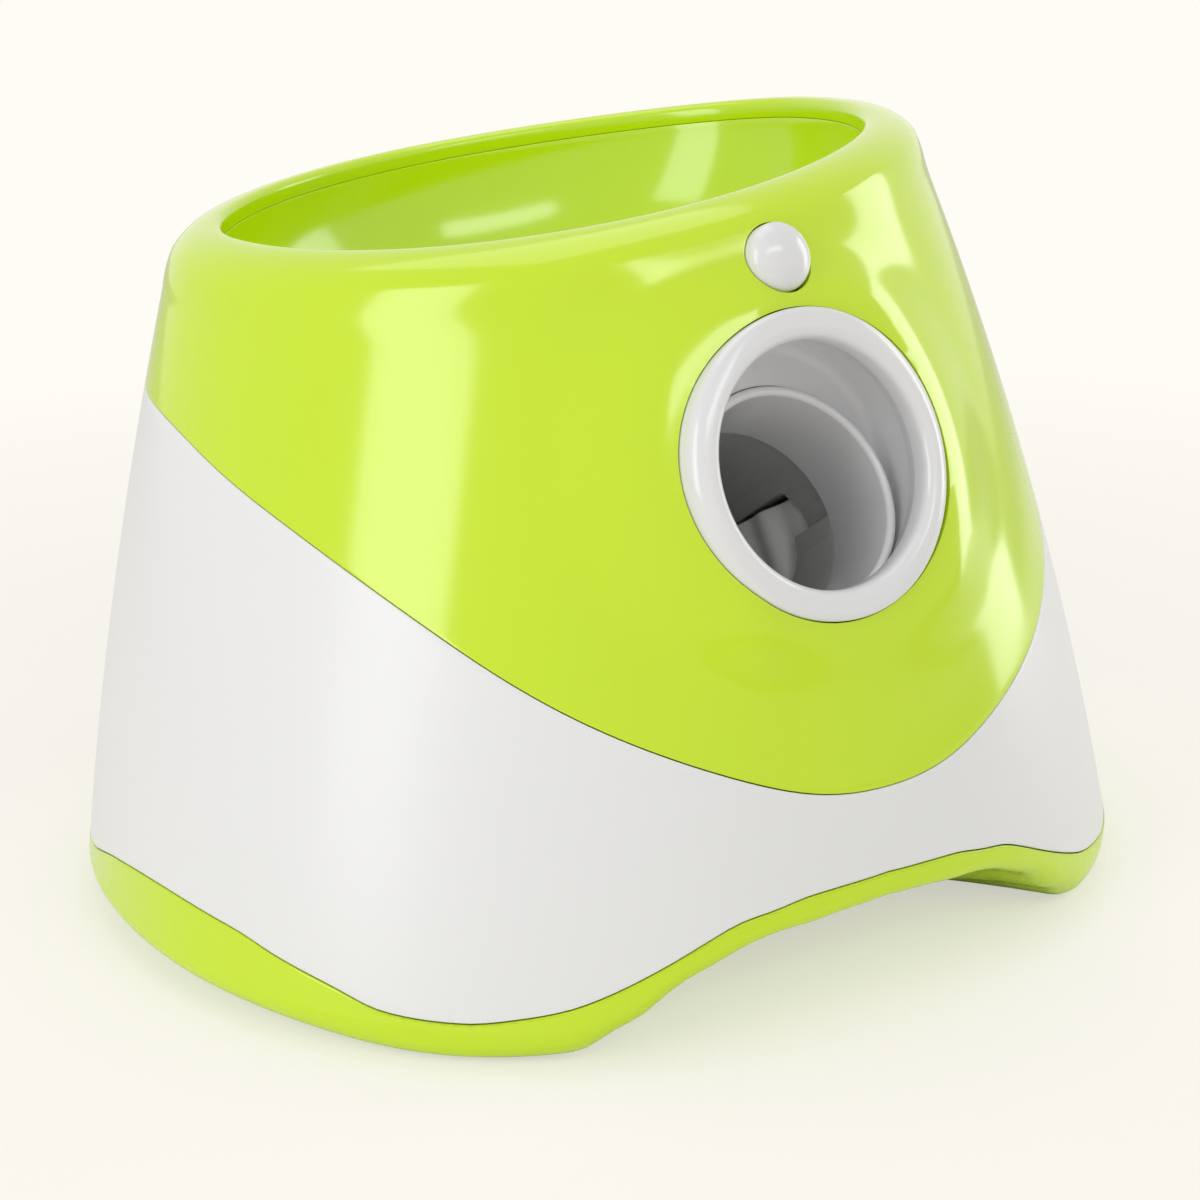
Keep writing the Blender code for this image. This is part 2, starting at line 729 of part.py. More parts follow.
def feed_tube(name, radius, top):
    # Mitred pipe: from the ball's seat up the ramp to the elbow, then straight up
    seat = seat_point()
    elbow = elbow_point()
    along = (elbow - seat).normalized()
    mitre = along + Vector((0, 0, 1))
    sideways = Vector((1, 0, 0))
    upward = sideways.cross(along)
    rings = [[], [], []]
    for i in range(ROUND_STEPS):
        turn = 2 * math.pi * i / ROUND_STEPS
        start = seat + radius * (math.cos(turn) * sideways + math.sin(turn) * upward)
        bend = start + along * ((elbow - start).dot(mitre) / along.dot(mitre))
        rings[0].append(start)
        rings[1].append(bend)
        rings[2].append(Vector((bend.x, bend.y, top)))
    return loft_mesh(name, rings)


def feed_solids(name, radius, top):
    # The pipe, and a round end for the ball's seat that stays just inside the pipe's radius
    pipe = place(name + "_pipe", feed_tube(name + "_pipe", radius, top))
    end = place(name + "_seat", ball_mesh(name + "_seat", radius - SEAT_STEP, seat_point()))
    return pipe, end


def gate_level():
    # Underside of the gate, in the slit between the bowl's skirt and the drop tube
    return DRAIN_HEIGHT - DRAIN_SKIRT - 2 * GAP - GATE_THICKNESS


def tube_top():
    return gate_level() - 2 * GAP


def make_feed_chute():
    outer = DROP_RADIUS + DROP_WALL
    chute = place("feed_chute", feed_tube("feed_chute", outer, tube_top()), (WHITE, 0.4))
    join(chute, place("chute_seat", ball_mesh("chute_seat", outer - SEAT_STEP, seat_point())))
    flange = box_mesh("chute_flange", (2 * CHAMBER_OUTER, CHAMBER_OUTER - GAP, WING_THICKNESS),
                      (0, -CHAMBER_OUTER / 2, -CHAMBER_END - GAP - WING_THICKNESS / 2))
    join(chute, in_barrel("chute_flange", flange))
    low = bracket_level() - GAP - COLLAR_WIDTH
    collar = round_mesh("chute_collar", outer + COLLAR_WIDTH, low, low + COLLAR_WIDTH, (0, DRAIN_DEPTH),
                        ROUND_STEPS)
    join(chute, place("chute_collar", collar))
    cut(chute, *feed_solids("chute_inner", DROP_RADIUS, tube_top() + OVERRUN))
    room = round_mesh("chamber_room", CHAMBER_OUTER + GAP, -CHAMBER_END - GAP, 0, steps=ROUND_STEPS)
    cut(chute, in_barrel("chamber_room", room))
    front = box_mesh("housing_room", (4 * CHAMBER_OUTER, 2 * CHAMBER_OUTER, CHAMBER_END),
                     (0, -CHAMBER_OUTER + GAP, -CHAMBER_END / 2 - GAP))
    cut(chute, in_barrel("housing_room", front))


# Launch housing: two halves that close on the barrel's axis plane

def half_housing(name, inner_radius, side):
    # One half of the chamber with its wings and posts: side is 1 for the upper half, -1 for the lower
    tube = in_barrel(name, round_mesh(name, CHAMBER_OUTER, -CHAMBER_END, -CHAMBER_START, steps=ROUND_STEPS),
                     (WHITE, 0.4))
    room = WHEEL_THICKNESS / 2 + WHEEL_ROOM
    edge = side * (room + WING_THICKNESS)
    middle = (side * room + edge) / 2
    plate = box_mesh(name + "_wing", (2 * WING_HALF_WIDTH, WING_THICKNESS, WING_END - WING_START),
                     (0, middle, -(WING_START + WING_END) / 2))
    wing = in_barrel(name + "_wing", plate)
    # The wing makes room for the feed chute behind the chamber, from just inside the chamber's end
    notch_size = (2 * CHAMBER_OUTER + 4 * GAP, 2 * WING_THICKNESS, 2 * (WING_END - CHAMBER_END + GAP))
    notch = box_mesh(name + "_notch", notch_size, (0, middle, -WING_END))
    cut(wing, in_barrel(name + "_notch", notch))
    cut(wing, *feed_solids(name + "_clear", DROP_RADIUS + DROP_WALL + GAP, tube_top() + OVERRUN))
    join(tube, wing)
    posts = [upright(POST_RADIUS, 0, side * (room + WING_THICKNESS / 2), centre) for centre in post_places()]
    join(tube, in_barrel(name + "_posts", gather(name + "_posts", posts)))
    past = 2 * CHAMBER_OUTER
    block = box_mesh(name + "_half", (3 * WING_HALF_WIDTH, past, 2 * CHAMBER_END),
                     (0, -side * (past / 2 - GAP / 2), -CHAMBER_END / 2))
    cut(tube, in_barrel(name + "_half", block))
    bore = round_mesh(name + "_bore", inner_radius, -CHAMBER_END - OVERRUN, -CHAMBER_START + OVERRUN,
                      steps=ROUND_STEPS)
    cut(tube, in_barrel(name + "_bore", bore))
    # A pocket stops just inside the wings, which close its ends
    reach = room - GAP
    pockets = [upright(WHEEL_RADIUS + WHEEL_ROOM, -reach, reach, centre, ROUND_STEPS)
               for centre in wheel_places()]
    cut(tube, in_barrel(name + "_pockets", gather(name + "_pockets", pockets)))
    pipe, end = feed_solids(name + "_feed", DROP_RADIUS, tube_top())
    cut(tube, pipe)
    # The seat's round end reaches the half whose bore is narrower than it
    if inner_radius < DROP_RADIUS - SEAT_STEP:
        cut(tube, end)
    tip = room + WING_THICKNESS - SCREW_LENGTH
    holes = [upright(SCREW_SHANK + GAP, tip - GAP, room + 2 * OVERRUN, centre) for centre in post_places()]
    bearing = (MOTOR_NOSE if side < 0 else SHAFT_RADIUS) + GAP
    holes += [upright(bearing, 0, 2 * edge, centre) for centre in wheel_places()]
    cut(tube, in_barrel(name + "_holes", gather(name + "_holes", holes)))


def upright_matrix(centre):
    # Stands a piece along the barrel frame's Y, at a sideways place and a distance back from the mouth
    return Matrix.Translation((centre[0], 0, -centre[1])) @ Matrix.Rotation(-math.pi / 2, 4, "X")


def upright(radius, low, high, centre, steps=SMALL_STEPS):
    low, high = sorted((low, high))
    return stepped(((radius, high), (radius, low)), upright_matrix(centre), steps)


def wheel_places():
    return [(side * WHEEL_OFFSET, WHEEL_PLACE) for side in (-1, 1)]


def post_places():
    side = WING_HALF_WIDTH - POST_INSET
    return [(x * side, back) for x in (-1, 1) for back in (WING_START + POST_INSET, WING_END - POST_INSET)]


def screw_levels(under_head, length):
    return ((SCREW_HEAD, under_head + SCREW_HEAD_HEIGHT), (SCREW_HEAD, under_head),
            (SCREW_SHANK, under_head), (SCREW_SHANK, under_head - length))


def make_housing():
    half_housing("housing_lower", BORE_RADIUS, -1)
    half_housing("housing_upper", CHAMBER_RADIUS, 1)
    top = WHEEL_THICKNESS / 2 + WHEEL_ROOM + WING_THICKNESS + GAP
    for number, centre in enumerate(post_places(), 1):
        screw = stepped(screw_levels(top, SCREW_LENGTH), upright_matrix(centre), SCREW_STEPS)
        in_barrel(f"housing_screw_{number}", screw, (STEEL, 0.35, 1.0))


# Launch wheels and motors

def make_wheel(side, word):
    centre = barrel_matrix() @ Vector((side * WHEEL_OFFSET, 0, -WHEEL_PLACE))
    axle = empty("axle_" + word, centre, (-BARREL_TILT, 0, 0))
    half = WHEEL_THICKNESS / 2
    rim = WHEEL_RADIUS - RIB_HEIGHT - TREAD_THICKNESS
    tread = ribbed_ring(rim + GAP, half)
    place("wheel_tread_" + word, tread, (WHITE, 0.6), parent=axle)
    bore = SHAFT_RADIUS + GAP
    inner = rim - HUB_RIM
    profile = [(rim, half), (rim, -half), (inner, -half), (inner, -HUB_WEB / 2),
               (BOSS_RADIUS, -HUB_WEB / 2), (BOSS_RADIUS, -half), (bore, -half), (bore, half),
               (BOSS_RADIUS, half), (BOSS_RADIUS, HUB_WEB / 2), (inner, HUB_WEB / 2), (inner, half)]
    turned("wheel_hub_" + word, profile, (WHITE, 0.4), SMALL_STEPS, parent=axle)
    top = half + WHEEL_ROOM + WING_THICKNESS
    motor_top = -top - GAP
    shaft = stepped(((SHAFT_RADIUS, top), (SHAFT_RADIUS, motor_top - SHAFT_SEAT)))
    place("wheel_shaft_" + word, shaft, (STEEL, 0.25, 1.0), parent=axle)
    nose = motor_top + WING_THICKNESS
    profile = [(MOTOR_NOSE, nose), (MOTOR_NOSE, motor_top), (MOTOR_RADIUS, motor_top),
               (MOTOR_RADIUS, motor_top - MOTOR_LENGTH), (0, motor_top - MOTOR_LENGTH),
               (0, motor_top - SHAFT_SEAT - GAP), (bore, motor_top - SHAFT_SEAT - GAP), (bore, nose)]
    turned("launch_motor_" + word, profile, (STEEL, 0.3, 1.0), SMALL_STEPS,
           location=centre, rotation=(-BARREL_TILT, 0, 0))


def ribbed_ring(inner, half):
    # Tyre with soft ribs across its face: a wavy circle with a round bore
    count = 3 * RIB_COUNT
    shape = bmesh.new()
    loops = []
    middle = WHEEL_RADIUS - RIB_HEIGHT / 2
    for level in (-half, half):
        outer_ring = []
        inner_ring = []
        for i in range(count):
            a = 2 * math.pi * i / count
            radius = middle + RIB_HEIGHT / 2 * math.cos(RIB_COUNT * a)
            outer_ring.append(shape.verts.new((radius * math.cos(a), radius * math.sin(a), level)))
            inner_ring.append(shape.verts.new((inner * math.cos(a), inner * math.sin(a), level)))
        loops.append((outer_ring, inner_ring))
    (low_out, low_in), (high_out, high_in) = loops
    for i in range(count):
        after = (i + 1) % count
        shape.faces.new((low_out[i], low_out[after], high_out[after], high_out[i]))
        shape.faces.new((low_in[after], low_in[i], high_in[i], high_in[after]))
        shape.faces.new((high_out[i], high_out[after], high_in[after], high_in[i]))
        shape.faces.new((low_out[after], low_out[i], low_in[i], low_in[after]))
    return bmesh_to_mesh("tread", shape)


# Cradle plates that carry the housing on the base pan

def across():
    # Stands a flat outline up, so that its plane faces along X
    return Matrix(((0, 0, 1, 0), (1, 0, 0, 0), (0, 1, 0, 0), (0, 0, 0, 1)))


def make_cradle(side, word):
    under = -(WHEEL_THICKNESS / 2 + WHEEL_ROOM + WING_THICKNESS + GAP)
    front = barrel_matrix() @ Vector((0, under, -CRADLE_START))
    rear = barrel_matrix() @ Vector((0, under, -CRADLE_END))
    floor = PAD_PROUD + PAN_WALL + GAP
    outline = [(front.y, floor), (rear.y, floor), (rear.y, rear.z), (front.y, front.z)]
    plate = outline_mesh("cradle_" + word, outline, -CRADLE_THICKNESS / 2, CRADLE_THICKNESS / 2)
    plate.transform(Matrix.Translation((side * CRADLE_PLACE, 0, 0)) @ across())
    cradle = place("cradle_" + word, plate, (STEEL, 0.4, 1.0))
    foot_centre = side * (CRADLE_PLACE + CRADLE_FOOT / 2)
    foot = box_mesh("cradle_foot_" + word, (CRADLE_FOOT, rear.y - front.y, CRADLE_THICKNESS),
                    (foot_centre, (front.y + rear.y) / 2, floor + CRADLE_THICKNESS / 2))
    join(cradle, place("cradle_foot_" + word, foot))
    holes = [round_mesh("hole", SCREW_SHANK + GAP, 0, 2 * floor + 2 * CRADLE_THICKNESS, centre)
             for centre in cradle_screw_places(side)]
    cut(cradle, place("cradle_holes_" + word, gather("cradle_holes_" + word, holes)))


def cradle_screw_places(side):
    under = -(WHEEL_THICKNESS / 2 + WHEEL_ROOM + WING_THICKNESS)
    ends = [(barrel_matrix() @ Vector((0, under, -back))).y for back in (CRADLE_START, CRADLE_END)]
    x = side * (CRADLE_PLACE + CRADLE_FOOT / 2 + CRADLE_THICKNESS / 2)
    return [(x, ends[0] + CRADLE_FOOT), (x, ends[1] - CRADLE_FOOT)]


def make_cradle_screws():
    under_head = PAD_PROUD + PAN_WALL + CRADLE_THICKNESS + 2 * GAP
    centres = cradle_screw_places(-1) + cradle_screw_places(1)
    for number, (x, y) in enumerate(centres, 1):
        screw = stepped(screw_levels(under_head, CRADLE_THICKNESS + PAN_WALL), steps=SCREW_STEPS)
        place(f"cradle_screw_{number}", screw, (STEEL, 0.35, 1.0), (x, y, 0))


# Gate and its drive

def pivot_place():
    return (PIVOT_REACH * math.cos(PIVOT_ANGLE), DRAIN_DEPTH + PIVOT_REACH * math.sin(PIVOT_ANGLE))


def gear_centres():
    return GEAR_MODULE * (GEAR_TEETH + PINION_TEETH) / 2 + GEAR_BACKLASH


def pinion_place():
    x, y = pivot_place()
    reach = gear_centres()
    return x + reach * math.cos(PIVOT_ANGLE), y + reach * math.sin(PIVOT_ANGLE)


def bracket_level():
    # Underside of the bracket plate
    return gate_level() - BRACKET_DROP


def gear_outline(teeth, phase):
    # Straight-sided teeth, a little thinner than their gaps
    pitch = GEAR_MODULE * teeth / 2
    tip = GEAR_MODULE * TOOTH_TIP_SHARE
    root = GEAR_MODULE * TOOTH_ROOT_SHARE
    half = math.pi * GEAR_MODULE / 4 * TOOTH_WIDTH_SHARE
    lean = math.tan(TOOTH_LEAN)
    points = []
    for tooth in range(teeth):
        middle = 2 * math.pi * tooth / teeth + phase
        corners = ((pitch - root, -half - root * lean), (pitch + tip, -half + tip * lean),
                   (pitch + tip, half - tip * lean), (pitch - root, half + root * lean))
        for radius, aside in corners:
            angle = middle + aside / radius
            points.append((radius * math.cos(angle), radius * math.sin(angle)))
    return points


def hull_outline(reach, large, small, count):
    # Two circles on the X axis and their outer tangents: the large one at 0, the small one at reach
    lean = math.acos((large - small) / reach)
    points = []
    for i in range(count + 1):
        a = lean + (2 * math.pi - 2 * lean) * i / count
        points.append((large * math.cos(a), large * math.sin(a)))
    for i in range(count // 2 + 1):
        a = -lean + 2 * lean * 2 * i / count
        points.append((reach + small * math.cos(a), small * math.sin(a)))
    return points


def make_gate():
    x, y = pivot_place()
    low = gate_level()
    pivot = empty("gate_pivot", (x, y, low), (0, 0, PIVOT_ANGLE + math.pi))
    hull = hull_outline(PIVOT_REACH, GATE_DISC, GATE_HUB, ROUND_STEPS)
    leaf = outline_mesh("feed_gate", [(PIVOT_REACH - px, py) for px, py in hull], 0, GATE_THICKNESS)
    gate = place("feed_gate", leaf, (WHITE, 0.4), parent=pivot)
    hole = round_mesh("gate_hole", PIVOT_RADIUS + GAP, -OVERRUN, GATE_THICKNESS + OVERRUN)
    cut(gate, place("gate_hole", hole, parent=pivot))
    base = bracket_level() - low
    shaft = round_mesh("gate_shaft", PIVOT_RADIUS, base - GATE_THICKNESS, GATE_THICKNESS)
    place("gate_shaft", shaft, (STEEL, 0.25, 1.0), parent=pivot)
    gear_low = base + BRACKET_THICKNESS + GAP
    gear_high = gear_low + GEAR_THICKNESS
    # The gear's first tooth points at the pinion
    gear = outline_mesh("gate_gear", gear_outline(GEAR_TEETH, math.pi), gear_low, gear_high)
    wheel = place("gate_gear", gear, (WHITE, 0.4), parent=pivot)
    bore = round_mesh("gear_bore", PIVOT_RADIUS + GAP, gear_low - OVERRUN, gear_high + OVERRUN)
    cut(wheel, place("gear_bore", bore, parent=pivot))
    px, py = pinion_place()
    spindle = empty("pinion_spindle", (px, py, low), (0, 0, PIVOT_ANGLE))
    phase = math.pi + math.pi / PINION_TEETH
    pinion = outline_mesh("gate_pinion", gear_outline(PINION_TEETH, phase), gear_low, gear_high)
    small = place("gate_pinion", pinion, (BRASS, 0.35, 1.0), parent=spindle)
    bore = round_mesh("pinion_bore", SHAFT_RADIUS + GAP, gear_low - OVERRUN, gear_high + OVERRUN)
    cut(small, place("pinion_bore", bore, parent=spindle))
    motor_top = base - GAP
    seat = motor_top - SHAFT_SEAT
    spin = round_mesh("pinion_shaft", SHAFT_RADIUS, seat, gear_high)
    place("pinion_shaft", spin, (STEEL, 0.25, 1.0), parent=spindle)
    bored = SHAFT_RADIUS + GAP
    end = motor_top - GATE_MOTOR_LENGTH
    profile = [(GATE_MOTOR_RADIUS, motor_top), (GATE_MOTOR_RADIUS, end), (0, end), (0, seat - GAP),
               (bored, seat - GAP), (bored, motor_top)]
    turned("gate_motor", profile, (STEEL, 0.3, 1.0), 24, location=(px, py, low))
    make_bracket()


def make_bracket():
    x, y = pinion_place()
    low = bracket_level()
    outer = DROP_RADIUS + DROP_WALL
    left = -outer - BRACKET_MARGIN
    right = x + GATE_MOTOR_RADIUS + BRACKET_MARGIN / 2
    rear = y + GATE_MOTOR_RADIUS + BRACKET_MARGIN / 2
    plate = box_mesh("gate_bracket", (right - left, rear, BRACKET_THICKNESS),
                     ((left + right) / 2, rear / 2, low + BRACKET_THICKNESS / 2))
    bracket = place("gate_bracket", plate, (STEEL, 0.4, 1.0))
    ring = round_mesh("bracket_ring", outer + GAP, low - OVERRUN, low + OVERRUN, (0, DRAIN_DEPTH),
                      ROUND_STEPS)
    cut(bracket, place("bracket_ring", ring))
    holes = [round_mesh("hole", PIVOT_RADIUS + GAP, low - OVERRUN, low + OVERRUN, pivot_place()),
             round_mesh("hole", SHAFT_RADIUS + GAP, low - OVERRUN, low + OVERRUN, (x, y))]
    cut(bracket, place("bracket_holes", gather("bracket_holes", holes)))
    # The corner behind the tube that carries nothing is left out
    corner = box_mesh("bracket_corner", (right, rear, 3 * OVERRUN),
                      (left, DRAIN_DEPTH + outer + rear / 2, low))
    cut(bracket, place("bracket_corner", corner))


# Rear control panel: local X runs across, local Y up, local Z out of the rear

def panel_origin():
    return 0, PANEL_DEPTH, PANEL_HEIGHT


def panel_turn():
    return math.pi / 2 - PANEL_TILT, 0, math.pi


def on_panel(name, mesh, shade=None):
    return place(name, mesh, shade, panel_origin(), panel_turn())


def make_panel():
    outline = rounded_outline(PANEL_WIDTH, PANEL_TALL, WINDOW_CORNER)
    plate = outline_mesh("control_panel", outline, -PANEL_THICKNESS, 0)
    panel = on_panel("control_panel", plate, (WHITE, 0.4))
    posts = [round_mesh("post", STANDOFF_RADIUS, -BOARD_STANDOFF + GAP, -PANEL_THICKNESS / 2, centre)
             for centre in board_corners()]
    join(panel, on_panel("panel_posts", gather("panel_posts", posts)))
    through = (-BOARD_STANDOFF, OVERRUN)
    holes = [round_mesh("hole", BUTTON_RADIUS + GAP, *through, button_place()),
             round_mesh("hole", JACK_RADIUS + GAP, *through, jack_place())]
    holes += [round_mesh("hole", LIGHT_RADIUS + GAP, *through, centre, SCREW_STEPS)
              for centre in light_places()]
    holes += [round_mesh("hole", SCREW_SHANK + GAP, -BOARD_STANDOFF - OVERRUN, -2 * PANEL_THICKNESS, centre,
                         SCREW_STEPS) for centre in board_corners()]
    cut(panel, on_panel("panel_holes", gather("panel_holes", holes)))
    frame = (ROCKER_WIDTH + 2 * SWITCH_FRAME + 2 * GAP, ROCKER_TALL + 2 * SWITCH_FRAME + 2 * GAP)
    slot = box_mesh("switch_slot", (frame[0] + 2 * GAP, frame[1] + 2 * GAP, 2 * BOARD_STANDOFF),
                    (SWITCH_PLACE, 0, 0))
    cut(panel, on_panel("switch_slot", slot))
    body = box_mesh("switch_body", (frame[0], frame[1], SWITCH_DEPTH + SWITCH_FRAME),
                    (SWITCH_PLACE, 0, (SWITCH_FRAME - SWITCH_DEPTH) / 2))
    switch = on_panel("switch_body", body, (DARK, 0.4))
    well = box_mesh("switch_well", (ROCKER_WIDTH + 2 * GAP, ROCKER_TALL + 2 * GAP, 2 * ROCKER_DEPTH),
                    (SWITCH_PLACE, 0, SWITCH_FRAME))
    cut(switch, on_panel("switch_well", well))


def make_rocker():
    # The cap's underside is cut back to a vee, so that it can tip both ways in its well
    panel = empty("panel_frame", panel_origin(), panel_turn())
    hinge = empty("rocker_hinge", (SWITCH_PLACE, 0, 0), (ROCKER_TILT, 0, 0), panel)
    half = ROCKER_TALL / 2 - 2 * GAP
    crown = SWITCH_FRAME + 2 * GAP
    outline = [(-half, crown), (-half, -GAP), (0, -ROCKER_DEPTH + SWITCH_FRAME + GAP), (half, -GAP),
               (half, crown), (0, crown - 2 * GAP)]
    cap = outline_mesh("power_rocker", outline, -ROCKER_WIDTH / 2, ROCKER_WIDTH / 2)
    cap.transform(across())
    place("power_rocker", cap, (DARK, 0.3), parent=hinge)


def button_place():
    return 0, 0


def jack_place():
    return -SWITCH_PLACE, -JACK_DROP


def light_places():
    return [(side * LIGHT_PITCH, LIGHT_RISE) for side in (-1, 0, 1)]


def board_corners():
    x = BOARD_WIDTH / 2 - 2 * STANDOFF_RADIUS
    y = BOARD_TALL / 2 - 2 * STANDOFF_RADIUS
    return [(i * x, j * y) for i in (-1, 1) for j in (-1, 1)]


def make_panel_parts():
    ledge = -PANEL_THICKNESS - GAP
    levels = ((BUTTON_RADIUS, BUTTON_PROUD), (BUTTON_RADIUS, ledge),
              (BUTTON_RADIUS + BUTTON_FLANGE, ledge), (BUTTON_RADIUS + BUTTON_FLANGE, ledge - BUTTON_FLANGE))
    spot = Matrix.Translation((*button_place(), 0))
    on_panel("distance_button", stepped(levels, spot), (WHITE, 0.3))
    board_top = -BOARD_STANDOFF
    reach = ledge - BUTTON_FLANGE - BUTTON_TRAVEL - 2 * GAP
    tact = box_mesh("tact_switch", (TACT_SIZE, TACT_SIZE, reach - board_top - GAP),
                    (*button_place(), (reach + board_top + GAP) / 2))
    on_panel("tact_switch", tact, (DARK, 0.4))
    # Three windows moulded as one guide, with a bar behind the panel
    bar = box_mesh("light_guide", (2 * LIGHT_PITCH + 4 * LIGHT_RADIUS, 4 * LIGHT_RADIUS, LIGHT_RADIUS),
                   (0, LIGHT_RISE, ledge - LIGHT_RADIUS / 2))
    guide = on_panel("light_guide", bar, (GREY, 0.15))
    lights = [round_mesh("light", LIGHT_RADIUS, ledge - LIGHT_RADIUS / 2, GAP, centre, SCREW_STEPS)
              for centre in light_places()]
    join(guide, on_panel("light_windows", gather("light_windows", lights)))
    x, y = jack_place()
    turned("dc_jack", [(JACK_RADIUS, GAP), (JACK_RADIUS, -JACK_DEPTH), (0, -JACK_DEPTH),
                       (0, -JACK_DEPTH + PANEL_THICKNESS), (JACK_BORE, -JACK_DEPTH + PANEL_THICKNESS),
                       (JACK_BORE, GAP)], (DARK, 0.4), SMALL_STEPS,
           location=(x, y, 0), parent=bpy.data.objects["panel_frame"])
    board = box_mesh("main_board", (BOARD_WIDTH, BOARD_TALL, BOARD_THICKNESS),
                     (0, 0, board_top - BOARD_THICKNESS / 2))
    plate = on_panel("main_board", board, (BOARD_GREEN, 0.5))
    rear = board_top - BOARD_THICKNESS
    sounder = round_mesh("buzzer", BUZZER_RADIUS, rear - BUZZER_HEIGHT, rear + BOARD_THICKNESS / 2,
                         button_place())
    join(plate, on_panel("buzzer", sounder))
    holes = [round_mesh("hole", SCREW_SHANK + GAP, 2 * board_top, 0, centre) for centre in board_corners()]
    cut(plate, on_panel("board_holes", gather("board_holes", holes)))
    under = -rear + GAP
    levels = screw_levels(under, BOARD_THICKNESS + PANEL_THICKNESS)
    # Two screws on a diagonal hold the board, driven from inside
    for number, (x, y) in enumerate(board_corners()[::3], 1):
        place(f"board_screw_{number}", stepped(levels, Matrix.Rotation(math.pi, 4, "X"), SCREW_STEPS),
              (STEEL, 0.35, 1.0), (x, y, 0), parent=bpy.data.objects["panel_frame"])


# Battery bay

def bay_inner():
    return 2 * CELL_LENGTH + 2 * CONTACT_ROOM, 6 * CELL_RADIUS + 4 * GAP


def door_size():
    length, width = bay_inner()
    return length - 2 * DOOR_LIP, width - 2 * DOOR_LIP


def cell_places():
    rows = [2 * i * (CELL_RADIUS + GAP) for i in (-1, 0, 1)]
    return [(x * (CELL_LENGTH / 2 + GAP), BAY_CENTRE + row) for x in (-1, 1) for row in rows]


def bay_floor():
    return PAD_PROUD + PAN_WALL + GAP


def cell_height():
    return bay_floor() + CELL_RADIUS + GAP


def make_contacts(side, word, root):
    # A metal strip across the three rows of cells, with a conical contact for each row
    back = bay_inner()[0] / 2 - GAP
    front = CELL_LENGTH + 2 * GAP
    rows = [y for x, y in cell_places()[:3]]
    strip = box_mesh("strip", (CONTACT_PLATE, rows[-1] - rows[0] + CONTACT_WIDTH, CONTACT_WIDTH),
                     (side * (back - CONTACT_PLATE / 2), BAY_CENTRE, cell_height()))
    contact = place(f"{word}_contacts", strip, (BRASS, 0.3, 1.0))
    turn = Matrix.Rotation(side * math.pi / 2, 4, "Y")
    cones = [stepped(((root, back - CONTACT_PLATE / 2), (SPRING_TIP, front)),
                     Matrix.Translation((0, y, cell_height())) @ turn, SCREW_STEPS) for y in rows]
    join(contact, place(f"{word}_cones", gather("cones", cones)))


def make_battery():
    length, width = bay_inner()
    floor = bay_floor()
    inner_top = floor + 2 * CELL_RADIUS + 3 * GAP
    top = inner_top + BAY_WALL
    block = box_mesh("battery_case", (length + 2 * BAY_WALL, width + 2 * BAY_WALL, top - floor),
                     (0, BAY_CENTRE, (floor + top) / 2))
    case = place("battery_case", block, (WHITE, 0.45))
    room = box_mesh("bay_room", (length, width, 2 * (inner_top - floor)), (0, BAY_CENTRE, floor))
    cut(case, place("bay_room", room))
    half = CELL_LENGTH / 2
    levels = ((CELL_NUB_RADIUS, half), (CELL_NUB_RADIUS, half - CELL_NUB),
              (CELL_RADIUS, half - CELL_NUB), (CELL_RADIUS, -half))
    for number, (x, y) in enumerate(cell_places(), 1):
        place(f"battery_cell_{number}", stepped(levels), (DARK, 0.4), (x, y, cell_height()),
              (0, math.pi / 2, 0))
    make_contacts(-1, "spring", SPRING_RADIUS)
    make_contacts(1, "button", CELL_NUB_RADIUS)
    size = door_size()
    inset = DOOR_THICKNESS / 2
    hinge = empty("door_hinge", (0, BAY_CENTRE - size[1] / 2 + inset, PAD_PROUD + inset))
    door = box_mesh("battery_door", (size[0], size[1], DOOR_THICKNESS), (0, size[1] / 2 - inset, 0))
    place("battery_door", door, (LIME, 0.3), parent=hinge)


def make_feet():
    for number, (x, y) in enumerate(foot_places(), 1):
        foot = round_mesh("rubber_foot", FOOT_RADIUS, 0, FOOT_THICKNESS)
        place(f"rubber_foot_{number}", foot, (DARK, 0.8), (x, y, 0))


make_base_pan()
make_lower_shell()
make_top_shell()
make_hopper_bowl()
make_nozzle_ring()
make_barrel_sleeve()
make_sensor()
make_housing()
make_feed_chute()
for one_side, one_word in ((-1, "left"), (1, "right")):
    make_wheel(one_side, one_word)
    make_cradle(one_side, one_word)
make_cradle_screws()
make_gate()
make_panel()
make_rocker()
make_panel_parts()
make_battery()
make_feet()
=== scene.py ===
import json
import math
import bmesh
import bpy
import numpy as np
from mathutils import Matrix, Vector


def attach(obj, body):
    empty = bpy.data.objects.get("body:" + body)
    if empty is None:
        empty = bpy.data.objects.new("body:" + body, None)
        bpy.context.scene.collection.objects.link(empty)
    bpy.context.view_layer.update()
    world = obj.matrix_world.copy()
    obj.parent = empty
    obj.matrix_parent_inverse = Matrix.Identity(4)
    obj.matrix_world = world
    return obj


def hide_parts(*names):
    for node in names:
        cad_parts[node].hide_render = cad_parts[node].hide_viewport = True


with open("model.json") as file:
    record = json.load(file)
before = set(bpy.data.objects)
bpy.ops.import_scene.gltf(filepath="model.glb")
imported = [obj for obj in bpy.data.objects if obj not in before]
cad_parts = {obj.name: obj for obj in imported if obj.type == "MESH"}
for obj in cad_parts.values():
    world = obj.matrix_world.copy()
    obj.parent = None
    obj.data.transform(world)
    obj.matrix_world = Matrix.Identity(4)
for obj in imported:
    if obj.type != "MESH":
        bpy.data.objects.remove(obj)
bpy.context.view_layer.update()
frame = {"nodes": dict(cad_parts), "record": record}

scene = bpy.context.scene
scene.view_settings.view_transform = "Standard"


# Colours and one node helper

